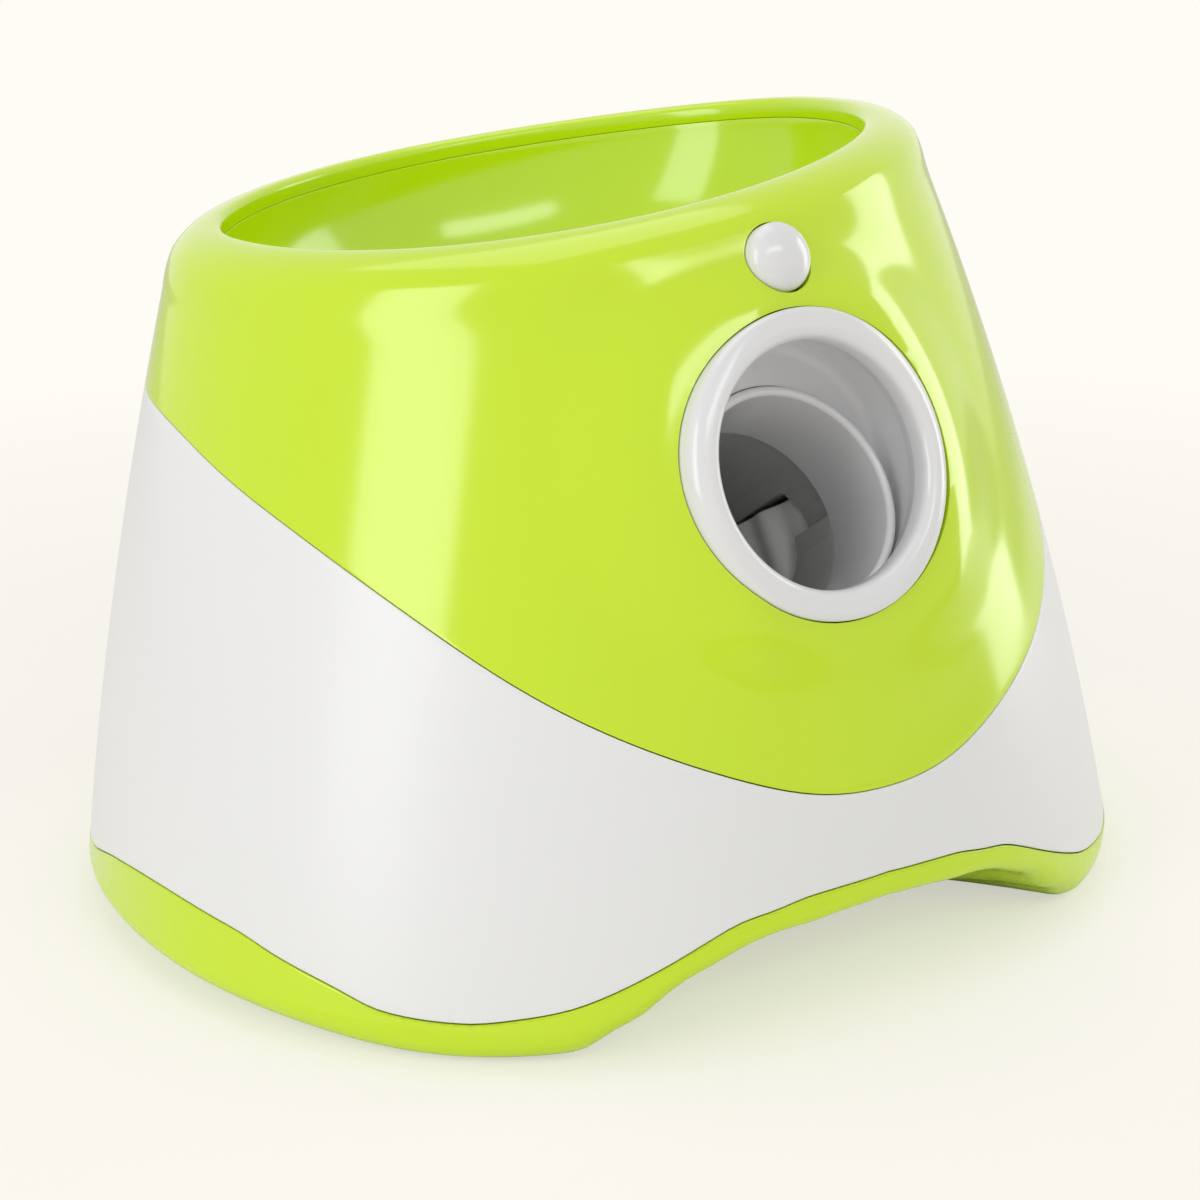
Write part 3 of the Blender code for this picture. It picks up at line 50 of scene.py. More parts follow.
def toLinear(hexColour):  # sRGB hex to the linear values that shaders take
    parts = [int(hexColour[i:i + 2], 16) / 255 for i in (1, 3, 5)]
    return tuple(p / 12.92 if p <= 0.04045 else ((p + 0.055) / 1.055) ** 2.4 for p in parts) + (1.0,)


def addNode(tree, kind, values=None, links=None, **settings):  # one node with its settings, values and links
    made = tree.nodes.new(kind)
    for key, value in settings.items():
        setattr(made, key, value)
    for key, value in (values or {}).items():
        made.inputs[key].default_value = value
    for key, (source, output) in (links or {}).items():
        tree.links.new(source.outputs[output], made.inputs[key])
    return made


def newMaterial(name):
    made = bpy.data.materials.new(name)
    made.use_nodes = True
    tree = made.node_tree
    tree.nodes.clear()
    output = addNode(tree, "ShaderNodeOutputMaterial")
    shader = addNode(tree, "ShaderNodeBsdfPrincipled")
    tree.links.new(shader.outputs["BSDF"], output.inputs["Surface"])
    return made, tree, shader


# Materials: each starts from what the real one is

def mouldedMaterial(name, look):
    # Moulded, drawn or coated solid: two close tones drift over centimetres, a fine grain gives the bump
    # and a slower noise moves the gloss. The grain is drawn as coarse as it needs to show at this distance.
    made, tree, shader = newMaterial(name)
    place = addNode(tree, "ShaderNodeTexCoord")
    drift = addNode(tree, "ShaderNodeTexNoise", {"Scale": 1 / look["driftSize"], "Detail": 2.0}, {"Vector": (place, "Object")})
    tone = addNode(tree, "ShaderNodeMix", {"A": toLinear(look["colour"]), "B": toLinear(look["second"])},
                   {"Factor": (drift, "Fac")}, data_type="RGBA")
    stretched = addNode(tree, "ShaderNodeMapping", {"Scale": look.get("stretch", (1, 1, 1))}, {"Vector": (place, "Object")})
    grain = addNode(tree, "ShaderNodeTexNoise", {"Scale": 1 / look["grainSize"], "Detail": look.get("detail", 3.0), "Roughness": 0.55},
                    {"Vector": (stretched, "Vector")})
    bump = addNode(tree, "ShaderNodeBump", {"Strength": look["bump"], "Distance": look["bumpDepth"]}, {"Height": (grain, "Fac")})
    low, high = look["roughness"]
    gloss = addNode(tree, "ShaderNodeMapRange", {"From Min": 0.3, "From Max": 0.7, "To Min": low, "To Max": high},
                    {"Value": (grain if look.get("metallic") else drift, "Fac")})
    tree.links.new(tone.outputs["Result"], shader.inputs["Base Color"])
    tree.links.new(gloss.outputs["Result"], shader.inputs["Roughness"])
    tree.links.new(bump.outputs["Normal"], shader.inputs["Normal"])
    shader.inputs["Metallic"].default_value = look.get("metallic", 0.0)
    shader.inputs["IOR"].default_value = look.get("ior", 1.5)
    shader.inputs["Coat Weight"].default_value = look.get("coat", 0.0)
    shader.inputs["Coat Roughness"].default_value = look.get("coatRoughness", 0.03)
    shader.inputs["Subsurface Weight"].default_value = look.get("soft", 0.0)
    shader.inputs["Subsurface Scale"].default_value = 0.002
    return made


finishes = {
    # High-gloss ABS from a polished mould: clear reflections, the faintest ripple from the melt
    "limeGlossAbs": {"colour": "#ceec07", "second": "#c6e602", "driftSize": 0.090, "grainSize": 0.0060, "bump": 0.035,
                     "bumpDepth": 0.00020, "roughness": (0.12, 0.17), "ior": 1.54, "coat": 0.35, "coatRoughness": 0.10},
    # ABS from a finely eroded mould: a soft satin sheen with a grain of about half a millimetre
    "whiteSatinAbs": {"colour": "#ebebeb", "second": "#e8e8e9", "driftSize": 0.080, "grainSize": 0.0006, "bump": 0.05,
                      "bumpDepth": 0.00006, "roughness": (0.30, 0.36), "ior": 1.50},
    # Harder white ABS of the nozzle and the sensor cover: half gloss
    "whiteGlossAbs": {"colour": "#e6e6e7", "second": "#e3e3e5", "driftSize": 0.050, "grainSize": 0.0040, "bump": 0.03,
                      "bumpDepth": 0.00012, "roughness": (0.17, 0.23), "ior": 1.52, "coat": 0.2, "coatRoughness": 0.08},
    # Unpolished polypropylene of the inner works: dull, with a mould grain of about a millimetre
    "greyInnerPlastic": {"colour": "#c9c9c6", "second": "#c3c3c1", "driftSize": 0.040, "grainSize": 0.0010, "bump": 0.10,
                         "bumpDepth": 0.00008, "roughness": (0.42, 0.52), "ior": 1.49},
    # Thermoplastic rubber: no clear reflection, a dusty grain
    "whiteWheelRubber": {"colour": "#f1f1ef", "second": "#ecece9", "driftSize": 0.020, "grainSize": 0.0007, "bump": 0.12,
                         "bumpDepth": 0.00008, "roughness": (0.46, 0.58), "ior": 1.52},
    "blackFootRubber": {"colour": "#1b1b1c", "second": "#232324", "driftSize": 0.015, "grainSize": 0.0006, "bump": 0.15,
                        "bumpDepth": 0.00010, "roughness": (0.62, 0.75), "ior": 1.52},
    # Zinc-plated steel: rolled sheet, so its fine marks run one way and spread the highlight
    "zincPlatedSteel": {"colour": "#b9bcc0", "second": "#adb1b6", "driftSize": 0.012, "grainSize": 0.0009, "bump": 0.08,
                        "bumpDepth": 0.00004, "roughness": (0.26, 0.40), "metallic": 1.0, "stretch": (1, 1, 0.08)},
    # Nickel-free brass strip of the contacts and the pinion: warm and a little dulled
    "rolledBrass": {"colour": "#d9b25c", "second": "#cba14b", "driftSize": 0.010, "grainSize": 0.0008, "bump": 0.08,
                    "bumpDepth": 0.00004, "roughness": (0.24, 0.38), "metallic": 1.0, "stretch": (1, 0.1, 1)},
    # Black ABS of the switch, the jack and the button switch: fine eroded grain
    "blackGrainedAbs": {"colour": "#17181a", "second": "#1d1e20", "driftSize": 0.020, "grainSize": 0.0005, "bump": 0.12,
                        "bumpDepth": 0.00006, "roughness": (0.34, 0.46), "ior": 1.53},
    # Smoked polycarbonate light guide: glossy and nearly black until it is lit
    "smokedPolycarbonate": {"colour": "#4b4f52", "second": "#43474a", "driftSize": 0.010, "grainSize": 0.0020, "bump": 0.02,
                            "bumpDepth": 0.00005, "roughness": (0.08, 0.12), "ior": 1.58},
    # Shrink sleeve of the cells: PVC film, glossy with a slight pucker
    "shrinkSleeve": {"colour": "#2b3038", "second": "#323844", "driftSize": 0.015, "grainSize": 0.0030, "bump": 0.10,
                     "bumpDepth": 0.00010, "roughness": (0.20, 0.30), "ior": 1.53},
}
materials = {name: mouldedMaterial(name, look) for name, look in finishes.items()}


def circuitBoardMaterial():
    # Glass-epoxy board under green solder mask: tracks show as a slightly lighter green net of 1.6 mm cells
    made, tree, shader = newMaterial("greenSolderMask")
    place = addNode(tree, "ShaderNodeTexCoord")
    tracks = addNode(tree, "ShaderNodeTexVoronoi", {"Scale": 1 / 0.0016}, {"Vector": (place, "Object")}, distance="MANHATTAN")
    edge = addNode(tree, "ShaderNodeMapRange", {"From Min": 0.35, "From Max": 0.55}, {"Value": (tracks, "Distance")})
    tone = addNode(tree, "ShaderNodeMix", {"A": toLinear("#0f5a2c"), "B": toLinear("#1f7a40")}, {"Factor": (edge, "Result")},
                   data_type="RGBA")
    bump = addNode(tree, "ShaderNodeBump", {"Strength": 0.2, "Distance": 0.00005}, {"Height": (edge, "Result")})
    tree.links.new(tone.outputs["Result"], shader.inputs["Base Color"])
    tree.links.new(bump.outputs["Normal"], shader.inputs["Normal"])
    shader.inputs["Roughness"].default_value = 0.3
    return made


materials["greenSolderMask"] = circuitBoardMaterial()
slotFinish = {"lime_abs": "limeGlossAbs", "white_abs": "whiteSatinAbs", "white_gloss": "whiteGlossAbs",
              "inner_plastic": "greyInnerPlastic", "wheel_rubber": "whiteWheelRubber", "steel": "zincPlatedSteel",
              "contact_metal": "rolledBrass", "dark_plastic": "blackGrainedAbs", "circuit_board": "greenSolderMask",
              "light_guide": "smokedPolycarbonate", "foot_rubber": "blackFootRubber"}
nodeFinish = {row["node"]: slotFinish[row["material_slot"]] for row in frame["record"]["subparts"]}
nodeFinish.update({f"battery_cell_{i}": "shrinkSleeve" for i in range(1, 7)})
for nodeName, cadNode in frame["nodes"].items():
    cadNode.data.materials.clear()
    cadNode.data.materials.append(materials[nodeFinish[nodeName]])
print("materials ready:", len(materials))


# Mesh helpers

def gridFaces(rows, columns, closedRows):  # quads of a grid whose columns close on themselves
    r, c = np.meshgrid(np.arange(rows if closedRows else rows - 1), np.arange(columns), indexing="ij")
    up, after = (r + 1) % rows, (c + 1) % columns
    return np.stack((r * columns + c, r * columns + after, up * columns + after, up * columns + c), -1).reshape(-1, 4)


def makeMesh(name, points, faces, weld=1e-7):  # vertices and faces to a mesh that is welded and faces outward
    mesh = bpy.data.meshes.new(name)
    mesh.from_pydata(np.asarray(points, float).reshape(-1, 3).tolist(), [], [list(map(int, f)) for f in faces])
    shape = bmesh.new()
    shape.from_mesh(mesh)
    bmesh.ops.remove_doubles(shape, verts=shape.verts, dist=weld)
    bmesh.ops.recalc_face_normals(shape, faces=shape.faces)
    if shape.calc_volume(signed=True) < 0:
        bmesh.ops.reverse_faces(shape, faces=shape.faces)
    shape.to_mesh(mesh)
    shape.free()
    return mesh


def makePiece(name, mesh, body, nodes, finish=None, sharp=35):
    piece = bpy.data.objects.new(name, mesh)
    scene.collection.objects.link(piece)
    mesh.materials.clear()
    mesh.materials.append(materials[finish or nodeFinish[nodes[0]]])
    mesh.shade_smooth()
    mesh.set_sharp_from_angle(angle=math.radians(sharp))
    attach(piece, body)
    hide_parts(*nodes)
    return piece


def applyModifiers(piece):  # leaves the finished mesh and no live modifier
    graph = bpy.context.evaluated_depsgraph_get()
    finished = bpy.data.meshes.new_from_object(piece.evaluated_get(graph))
    piece.modifiers.clear()
    piece.data = finished


def cutWith(piece, meshes):  # takes the cutters' volumes out of a piece
    for mesh in meshes:
        cutter = bpy.data.objects.new("cutter", mesh)
        scene.collection.objects.link(cutter)
        step = piece.modifiers.new("cut", "BOOLEAN")
        step.operation = "DIFFERENCE"
        step.solver = "EXACT"
        step.object = cutter
        applyModifiers(piece)
        bpy.data.objects.remove(cutter, do_unlink=True)
    piece.data.shade_smooth()
    piece.data.set_sharp_from_angle(angle=math.radians(35))


def turnedPoints(profile, steps):  # a (radius, height) profile carried round the Z axis
    profile = np.asarray(profile, float)
    turn = 2 * np.pi * np.arange(steps) / steps
    return np.stack((profile[:, :1] * np.cos(turn), profile[:, :1] * np.sin(turn),
                     np.repeat(profile[:, 1:], steps, 1)), -1)


def moved(points, matrix):  # points taken through a 4 by 4 matrix
    m = np.array(matrix)
    return points @ m[:3, :3].T + m[:3, 3]


def turnedMesh(name, profile, steps, matrix, closedRows=True):
    points = moved(turnedPoints(profile, steps), matrix)
    return makeMesh(name, points, gridFaces(len(profile), steps, closedRows))


def arcPoints(centre, radius, start, end, count):  # circular arc between two angles in degrees
    a = np.radians(np.linspace(start, end, count + 1))
    return np.stack((centre[0] + radius * np.cos(a), centre[1] + radius * np.sin(a)), -1)


def prismMesh(name, outline, low, high, matrix):  # a flat outline pulled up between two heights
    outline = np.asarray(outline, float)
    n = len(outline)
    rings = np.stack([np.column_stack((outline, np.full(n, z))) for z in (low, high)])
    faces = [list(f) for f in gridFaces(2, n, False)] + [list(range(n)), list(range(n, 2 * n))]
    return makeMesh(name, moved(rings.reshape(-1, 3), matrix), faces)


def roundedOutline(width, tall, corner, steps=10):
    sides = ((1, 1, 0), (-1, 1, 90), (-1, -1, 180), (1, -1, 270))
    return np.concatenate([arcPoints((x * (width / 2 - corner), y * (tall / 2 - corner)), corner, a, a + 90, steps)
                           for x, y, a in sides])


def softCopy(name, node, body, radius, segments=3, finish=None):  # a CAD node's shape with its edges rounded
    mesh = frame["nodes"][node].data.copy()
    shape = bmesh.new()
    shape.from_mesh(mesh)
    bmesh.ops.remove_doubles(shape, verts=shape.verts, dist=1e-6)
    bmesh.ops.dissolve_limit(shape, angle_limit=math.radians(1), verts=shape.verts, edges=shape.edges)
    shape.to_mesh(mesh)
    shape.free()
    piece = makePiece(name, mesh, body, [node], finish)
    step = piece.modifiers.new("edges", "BEVEL")
    step.width = radius
    step.segments = segments
    step.limit_method = "ANGLE"
    step.angle_limit = math.radians(40)
    step.use_clamp_overlap = True
    applyModifiers(piece)
    piece.data.shade_smooth()
    piece.data.set_sharp_from_angle(angle=math.radians(50))
    return piece


# The casing's surface, in metres, with its middle moved to the middle of the footprint

casing = {
    "baseHalf": 0.1418, "baseFront": 0.1312,"baseRear": 0.1335, "rimHalf": 0.1042, "rimFront": 0.1090, "rimRear": 0.0840,
    "rimShift": 0.0303, "widthBulge": 0.0032, "frontBulge": 0.0060, "rearBulge": 0.0015, "basePower": 2.14, "rimPower": 1.93,
    "rimHeight": 0.1723, "rimSide": 0.150, "rimBack": 0.017, "rimTwist": 0.054, "tuckHeight": 0.0099, "padProud": 0.0010,
    "footprintShift": -0.0022, "partingScale": 0.1762, "lipRadius": 0.0141, "lipRise": 0.0137, "lipEdge": 0.0023,
    "lipSkirt": 0.0030, "wall": 0.0019, "gap": 0.0003, "columns": 256,
    "archHeight": 0.0271, "archTuck": 0.0040, "archTuckHeight": 0.0030, "bandHeight": 0.0346, "sideTuck": 0.0271, "footTuck": 0.0050,
}
partingDepth = (-.933, -.899, -.852, -.786, -.701, -.538, -.434, -.264, -.089, .163, .457, .685, .898)
partingHeight = (.305, .341, .375, .414, .459, .541, .584, .642, .686, .742, .757, .738, .704)
bandAngle = (0, 10, 14, 18, 21, 26, 31, 35, 40, 45, 53, 58, 64, 70, 82, 94, 105, 118, 130, 142, 155, 168, 180)
bandShare = (1, .971, .925, .879, .803, .653, .514, .425, .364, .327, .358, .46, .561, .656, .702, .618, .44, .345, .327,
             .376, .55, .665, .702)
archAngle = (0, 6, 10, 13, 17, 21, 24, 26, 28, 31, 34, 38)
archShare = (1, .972, .932, .915, .84, .698, .584, .466, .335, .2, .036, 0)
turn = 2 * np.pi * np.arange(casing["columns"]) / casing["columns"]


def smoothTable(places, values, wanted):
    # Cubic pieces through a short table, with the slope at each place taken across its neighbours
    p, v = np.array(places, float), np.array(values, float)
    last = len(p) - 1
    i = np.arange(last + 1)
    before, after = np.maximum(i - 1, 0), np.minimum(i + 1, last)
    slope = (v[after] - v[before]) / (p[after] - p[before])
    w = np.clip(wanted, p[0], p[last])
    k = np.clip(np.searchsorted(p, w, side="right") - 1, 0, last - 1)
    width = p[k + 1] - p[k]
    s = (w - p[k]) / width
    rise = v[k] * (1 + 2 * s) * (1 - s) ** 2 + v[k + 1] * s * s * (3 - 2 * s)
    return rise + width * (slope[k] * s * (1 - s) ** 2 - slope[k + 1] * s * s * (1 - s))


def signedPower(value, exponent):
    return np.sign(value) * np.abs(value) ** exponent


def rimLevel(x, y):  # height of the rim: it rises to one side, a little more steeply at the front
    twist = casing["rimTwist"] * x * y / casing["baseHalf"]
    return casing["rimHeight"] + casing["rimSide"] * x - casing["rimBack"] * y - twist


def sectionPoint(t, share, inset=0.0):
    # Superellipse: x = half |cos t|^e, y = middle + depth |sin t|^e, sizes linear in the share of the wall plus 4s(1-s) bulges
    bulge = 4 * share * (1 - share)
    half = casing["baseHalf"] + (casing["rimHalf"] - casing["baseHalf"]) * share + casing["widthBulge"] * bulge - inset
    front = casing["baseFront"] + (casing["rimFront"] - casing["baseFront"]) * share + casing["frontBulge"] * bulge - inset
    rear = casing["baseRear"] + (casing["rimRear"] - casing["baseRear"]) * share + casing["rearBulge"] * bulge - inset
    exponent = 2 / (casing["basePower"] + (casing["rimPower"] - casing["basePower"]) * share)
    middle = (casing["baseFront"] - casing["baseRear"]) / 2 + casing["rimShift"] * share
    depth = np.where(np.sin(t) < 0, front, rear)
    return half * signedPower(np.cos(t), exponent), middle + depth * signedPower(np.sin(t), exponent)


def wallPoint(t, share, inset=0.0):  # the point of the wall at a share of its height
    x, y = sectionPoint(t, share, inset)
    return np.stack((x, y, casing["tuckHeight"] + share * (rimLevel(x, y) - casing["tuckHeight"])), -1)


def shareAtHeight(t, height):  # share of the wall that lies at a height, found by repeating the section
    share = 0.5 + 0 * t
    for _ in range(14):
        share = (height - casing["tuckHeight"]) / (rimLevel(*sectionPoint(t, share)) - casing["tuckHeight"])
    return share


def partingShareAt(t, offset):  # share of the wall where the lime shell meets the white shell
    share = 0.5 + 0 * t
    for _ in range(18):
        x, y = sectionPoint(t, share)
        height = casing["partingScale"] * smoothTable(partingDepth, partingHeight, y / casing["baseFront"])
        share = (height + offset - casing["tuckHeight"]) / (rimLevel(x, y) - casing["tuckHeight"])
    for _ in range(24):  # evens the seam out along the body
        share = (np.roll(share, 1) + 2 * share + np.roll(share, -1)) / 4
    return share


def frontAngle(t):  # degrees from the front, the same on both sides
    x, y = sectionPoint(t, 0.0)
    return np.degrees(np.arctan2(np.abs(x), -y))


def bandLevel(t):
    return casing["bandHeight"] * smoothTable(bandAngle, bandShare, frontAngle(t))


def tuckInset(t, lift):  # how far the wall tucks under: little at the feet and the arch, more along the sides
    inset = casing["sideTuck"] + 0 * t
    for centre, spread in ((225, 28), (315, 28), (45, 20), (135, 20)):
        away = (np.degrees(t) - centre) / spread
        inset = inset + (casing["footTuck"] - casing["sideTuck"]) * np.exp(-away * away)
    inset = np.maximum(inset, casing["footTuck"])
    return inset + (casing["archTuck"] - inset) * np.sqrt(lift)


def placed(points):
    return np.asarray(points) + np.array((0, casing["footprintShift"], 0))


def softened(rows, first, last, passes):  # averages each point with its neighbours along the profile
    rows = np.array(rows)
    for _ in range(passes):
        middle = rows[first:last]
        rows[first:last] = (rows[first - 1:last - 1] + 2 * middle + rows[first + 1:last + 1]) / 4
    return rows


def walled(outer, wall, edge):
    # Gives an open sheet of rows its inner side, wall metres behind it, and rolls both rims with a small edge radius
    across = np.roll(outer, -1, 1) - np.roll(outer, 1, 1)
    along = np.gradient(outer, axis=0)
    normal = np.cross(across, along)
    normal /= np.linalg.norm(normal, axis=-1, keepdims=True)
    inner = outer - wall * normal
    bends = np.radians(np.linspace(0, 90, 5))

    def rim(row, step):
        ahead = row + 0 * row
        tangent = outer[ahead] - outer[ahead - step]
        tangent /= np.linalg.norm(tangent, axis=-1, keepdims=True)
        front = [outer[row] + edge * ((np.sin(b) - 1) * tangent - (1 - np.cos(b)) * normal[row]) for b in bends]
        back = [inner[row] + edge * ((np.sin(b) - 1) * tangent + (1 - np.cos(b)) * normal[row]) for b in bends]
        return front, back

    last = len(outer) - 1
    topFront, topBack = rim(last, 1)
    lowFront, lowBack = rim(0, -1)
    rows = lowFront[::-1] + list(outer[1:-1]) + topFront + topBack[::-1] + list(inner[1:-1][::-1]) + lowBack
    return np.array(rows)


def frameMatrix(depth, height, tilt):  # local Z points out of the front, up by the tilt
    shift = Matrix.Translation((0, -depth + casing["footprintShift"], height))
    return shift @ Matrix.Rotation(math.pi / 2 - math.radians(tilt), 4, "X")


nozzleFrame = frameMatrix(0.1025, 0.1284, 19.5)
barrelFrame = frameMatrix(0.0897, 0.1177, 33.0)
sensorFrame = frameMatrix(0.0817, 0.1732, 19.5)
panelFrame = (Matrix.Translation((0, 0.1189 + casing["footprintShift"], 0.0650))
              @ Matrix.Rotation(math.pi, 4, "Z") @ Matrix.Rotation(math.pi / 2 - math.radians(7.6), 4, "X"))


# Top shell: wall, rolled lip and the skirt that meets the bowl

def lipRow(t, inset, rise):
    x, y = sectionPoint(t, 1.0, inset)
    return np.stack((x, y, rimLevel(x, y) + rise), -1)


def fadeBetween(value, zero, one):  # 0 at one value, 1 at the other, with a smooth step between
    s = np.clip((value - zero) / (one - zero), 0, 1)
    return s * s * (3 - 2 * s)


def flattenedFront(points):
    # Pushes the wall out along the nozzle's axis to the ring's plane, all the way at the ring and less further off
    look = {"near": 0.038, "far": 0.064, "plane": -0.0022, "deep": -0.060, "most": 0.0040, "top": (0.184, 0.160),
            "foot": (0.070, 0.094)}
    back = np.array(nozzleFrame.inverted())
    local = points @ back[:3, :3].T + back[:3, 3]
    reach = np.hypot(local[..., 0], local[..., 1])
    share = fadeBetween(reach, look["far"], look["near"]) * fadeBetween(points[..., 2], *look["top"])
    share *= fadeBetween(points[..., 2], *look["foot"]) * (local[..., 2] > look["deep"])
    push = share * np.clip(look["plane"] - local[..., 2], 0, look["most"])
    return points + push[..., None] * np.array(nozzleFrame)[:3, 2]


def makeTopShell():
    look = {"wallRows": 64, "lipRows": 18, "edgeRows": 7, "edge": 0.0002, "nozzleHole": 0.0371, "sensorHole": 0.0087}
    radius, small, rise = casing["lipRadius"], casing["lipEdge"], casing["lipRise"]
    start = partingShareAt(turn, casing["gap"] * 0.3)
    rows = [wallPoint(turn, start + (1 - start) * s) for s in np.linspace(0, 1, look["wallRows"])]
    for b in np.radians(np.linspace(0, 90, look["lipRows"] + 1))[1:]:
        rows.append(lipRow(turn, radius * (1 - np.cos(b)), rise * np.sin(b)))
    for b in np.radians(np.linspace(0, 90, look["edgeRows"] + 1))[1:]:
        rows.append(lipRow(turn, radius + small * np.sin(b), rise - small * (1 - np.cos(b))))
    for drop in (0.4, 1.0):
        rows.append(lipRow(turn, radius + small, rise - small - (casing["lipSkirt"] - casing["gap"] / 3) * drop))
    rows = softened(rows, look["wallRows"] - 8, look["wallRows"] + 6, 12)
    grid = walled(flattenedFront(placed(rows)), casing["wall"], look["edge"])
    mesh = makeMesh("topShell", grid, gridFaces(len(grid), grid.shape[1], True))
    piece = makePiece("top_shell_gloss", mesh, "casing", ["top_shell"])
    circle = arcPoints((0, 0), 1, 0, 360, 128)[:-1]
    cutWith(piece, [prismMesh("hole", circle * look["nozzleHole"], -0.030, 0.012, nozzleFrame),
                    prismMesh("hole", circle * look["sensorHole"], -0.012, 0.012, sensorFrame)])
    print("top shell ready")


def makeBowl():
    look = {"rows": 48, "drainRadius": 0.0280, "drainDepth": 0.0160, "drainHeight": 0.1160, "drainSkirt": 0.0052, "sine": 0.75,
            "edge": 0.0002}
    edge = lipRow(turn, casing["lipRadius"] + casing["lipEdge"], casing["lipRise"] - casing["lipEdge"] - casing["lipSkirt"])
    drain = np.stack((look["drainRadius"] * np.cos(turn), look["drainDepth"] + look["drainRadius"] * np.sin(turn),
                      look["drainHeight"] + 0 * turn), -1)
    rows = []
    for b in np.radians(np.linspace(0, 90, look["rows"])):
        drop = look["sine"] * math.sin(b) + (1 - look["sine"]) * (1 - math.cos(b))
        row = drain + (edge - drain) * math.cos(b)
        row[:, 2] = edge[:, 2] + (drain[:, 2] - edge[:, 2]) * drop
        rows.append(row)
    for share in (0.2, 0.4, 0.7, 1.0):
        rows.append(drain - np.array((0, 0, look["drainSkirt"] * share)))
    rows = softened(rows, look["rows"] - 3, look["rows"] + 2, 4)
    grid = walled(placed(rows), casing["wall"], look["edge"])
    makePiece("bowl_gloss", makeMesh("bowl", grid, gridFaces(len(grid), grid.shape[1], True)), "casing", ["hopper_bowl"])
    print("bowl ready")


def makeLowerShell():
    look = {"rows": 40, "edge": 0.0004, "windowWidth": 0.0710, "windowTall": 0.0410, "windowCorner": 0.0060}
    low = shareAtHeight(turn, bandLevel(turn) + casing["gap"] * 0.5)
    high = partingShareAt(turn, -casing["gap"] * 0.3)
    rows = [wallPoint(turn, low + (high - low) * s) for s in np.linspace(0, 1, look["rows"])]
    grid = walled(placed(rows), casing["wall"], look["edge"])
    mesh = makeMesh("lowerShell", grid, gridFaces(len(grid), grid.shape[1], True))
    piece = makePiece("lower_shell_satin", mesh, "casing", ["lower_shell"])
    outline = roundedOutline(look["windowWidth"], look["windowTall"], look["windowCorner"])
    cutWith(piece, [prismMesh("window", outline, 0, 0.024, panelFrame)])
    print("lower shell ready")


def makeBasePan():
    look = {"floorShares": (0.02, 0.15, 0.30, 0.45, 0.55, 0.65, 0.75, 0.84, 0.92), "arcRows": 12, "bandRows": 12, "edge": 0.0004,
            "door": (0.1066, 0.0762), "doorMiddle": 0.0620, "footRadius": 0.0073, "footDepth": 0.0022, "footPlace": 0.0840}
    lift = smoothTable(archAngle, archShare, frontAngle(turn))
    tuck = tuckInset(turn, lift)
    pad, arch = casing["padProud"], casing["archHeight"]
    rows = []
    for share in look["floorShares"]:  # the floor follows the front arch more towards its edge
        x, y = sectionPoint(turn, 0.0, tuck)
        scoop = smoothTable((0, 0.45, 0.70, 0.90, 1.0), (0, 0, 0.3, 0.9, 1.0), share)
        rows.append(np.stack((x * share, y * share, pad + arch * lift * scoop), -1))
    foot = pad + arch * lift
    tall = casing["tuckHeight"] - pad + (casing["archTuckHeight"] - casing["tuckHeight"] + pad) * lift
    for b in np.radians(np.linspace(0, 90, look["arcRows"] + 1)):
        height = foot + tall * (1 - math.cos(b))
        share = np.maximum(0, shareAtHeight(turn, height))
        x, y = sectionPoint(turn, share, tuck * (1 - math.sin(b)))
        rows.append(np.stack((x, y, height), -1))
    top = shareAtHeight(turn, bandLevel(turn) - casing["gap"] * 0.5)
    for s in np.linspace(0, 1, look["bandRows"] + 1)[1:]:
        rows.append(wallPoint(turn, share + (top - share) * s))
    grid = walled(placed(rows), casing["wall"], look["edge"])
    mesh = makeMesh("basePan", grid, gridFaces(len(grid), grid.shape[1], True))
    piece = makePiece("base_pan_gloss", mesh, "casing", ["base_pan"])
    shift = Matrix.Translation((0, casing["footprintShift"], 0))
    door = roundedOutline(look["door"][0], look["door"][1], 0.0006, 2) + np.array((0, look["doorMiddle"]))
    circle = arcPoints((0, 0), 1, 0, 360, 64)[:-1]
    cutters = [prismMesh("hole", door, -0.01, 0.008, shift)]
    for x in (-1, 1):
        for y in (-1, 1):
            spot = np.array((x, y)) * look["footPlace"]
            cutters.append(prismMesh("hole", circle * look["footRadius"] + spot, -0.01, look["footDepth"], shift))
    cutWith(piece, cutters)
    print("base pan ready")


makeTopShell()
makeBowl()
makeLowerShell()
makeBasePan()


# Launch end: nozzle ring, sleeve, sensor cover and wheels

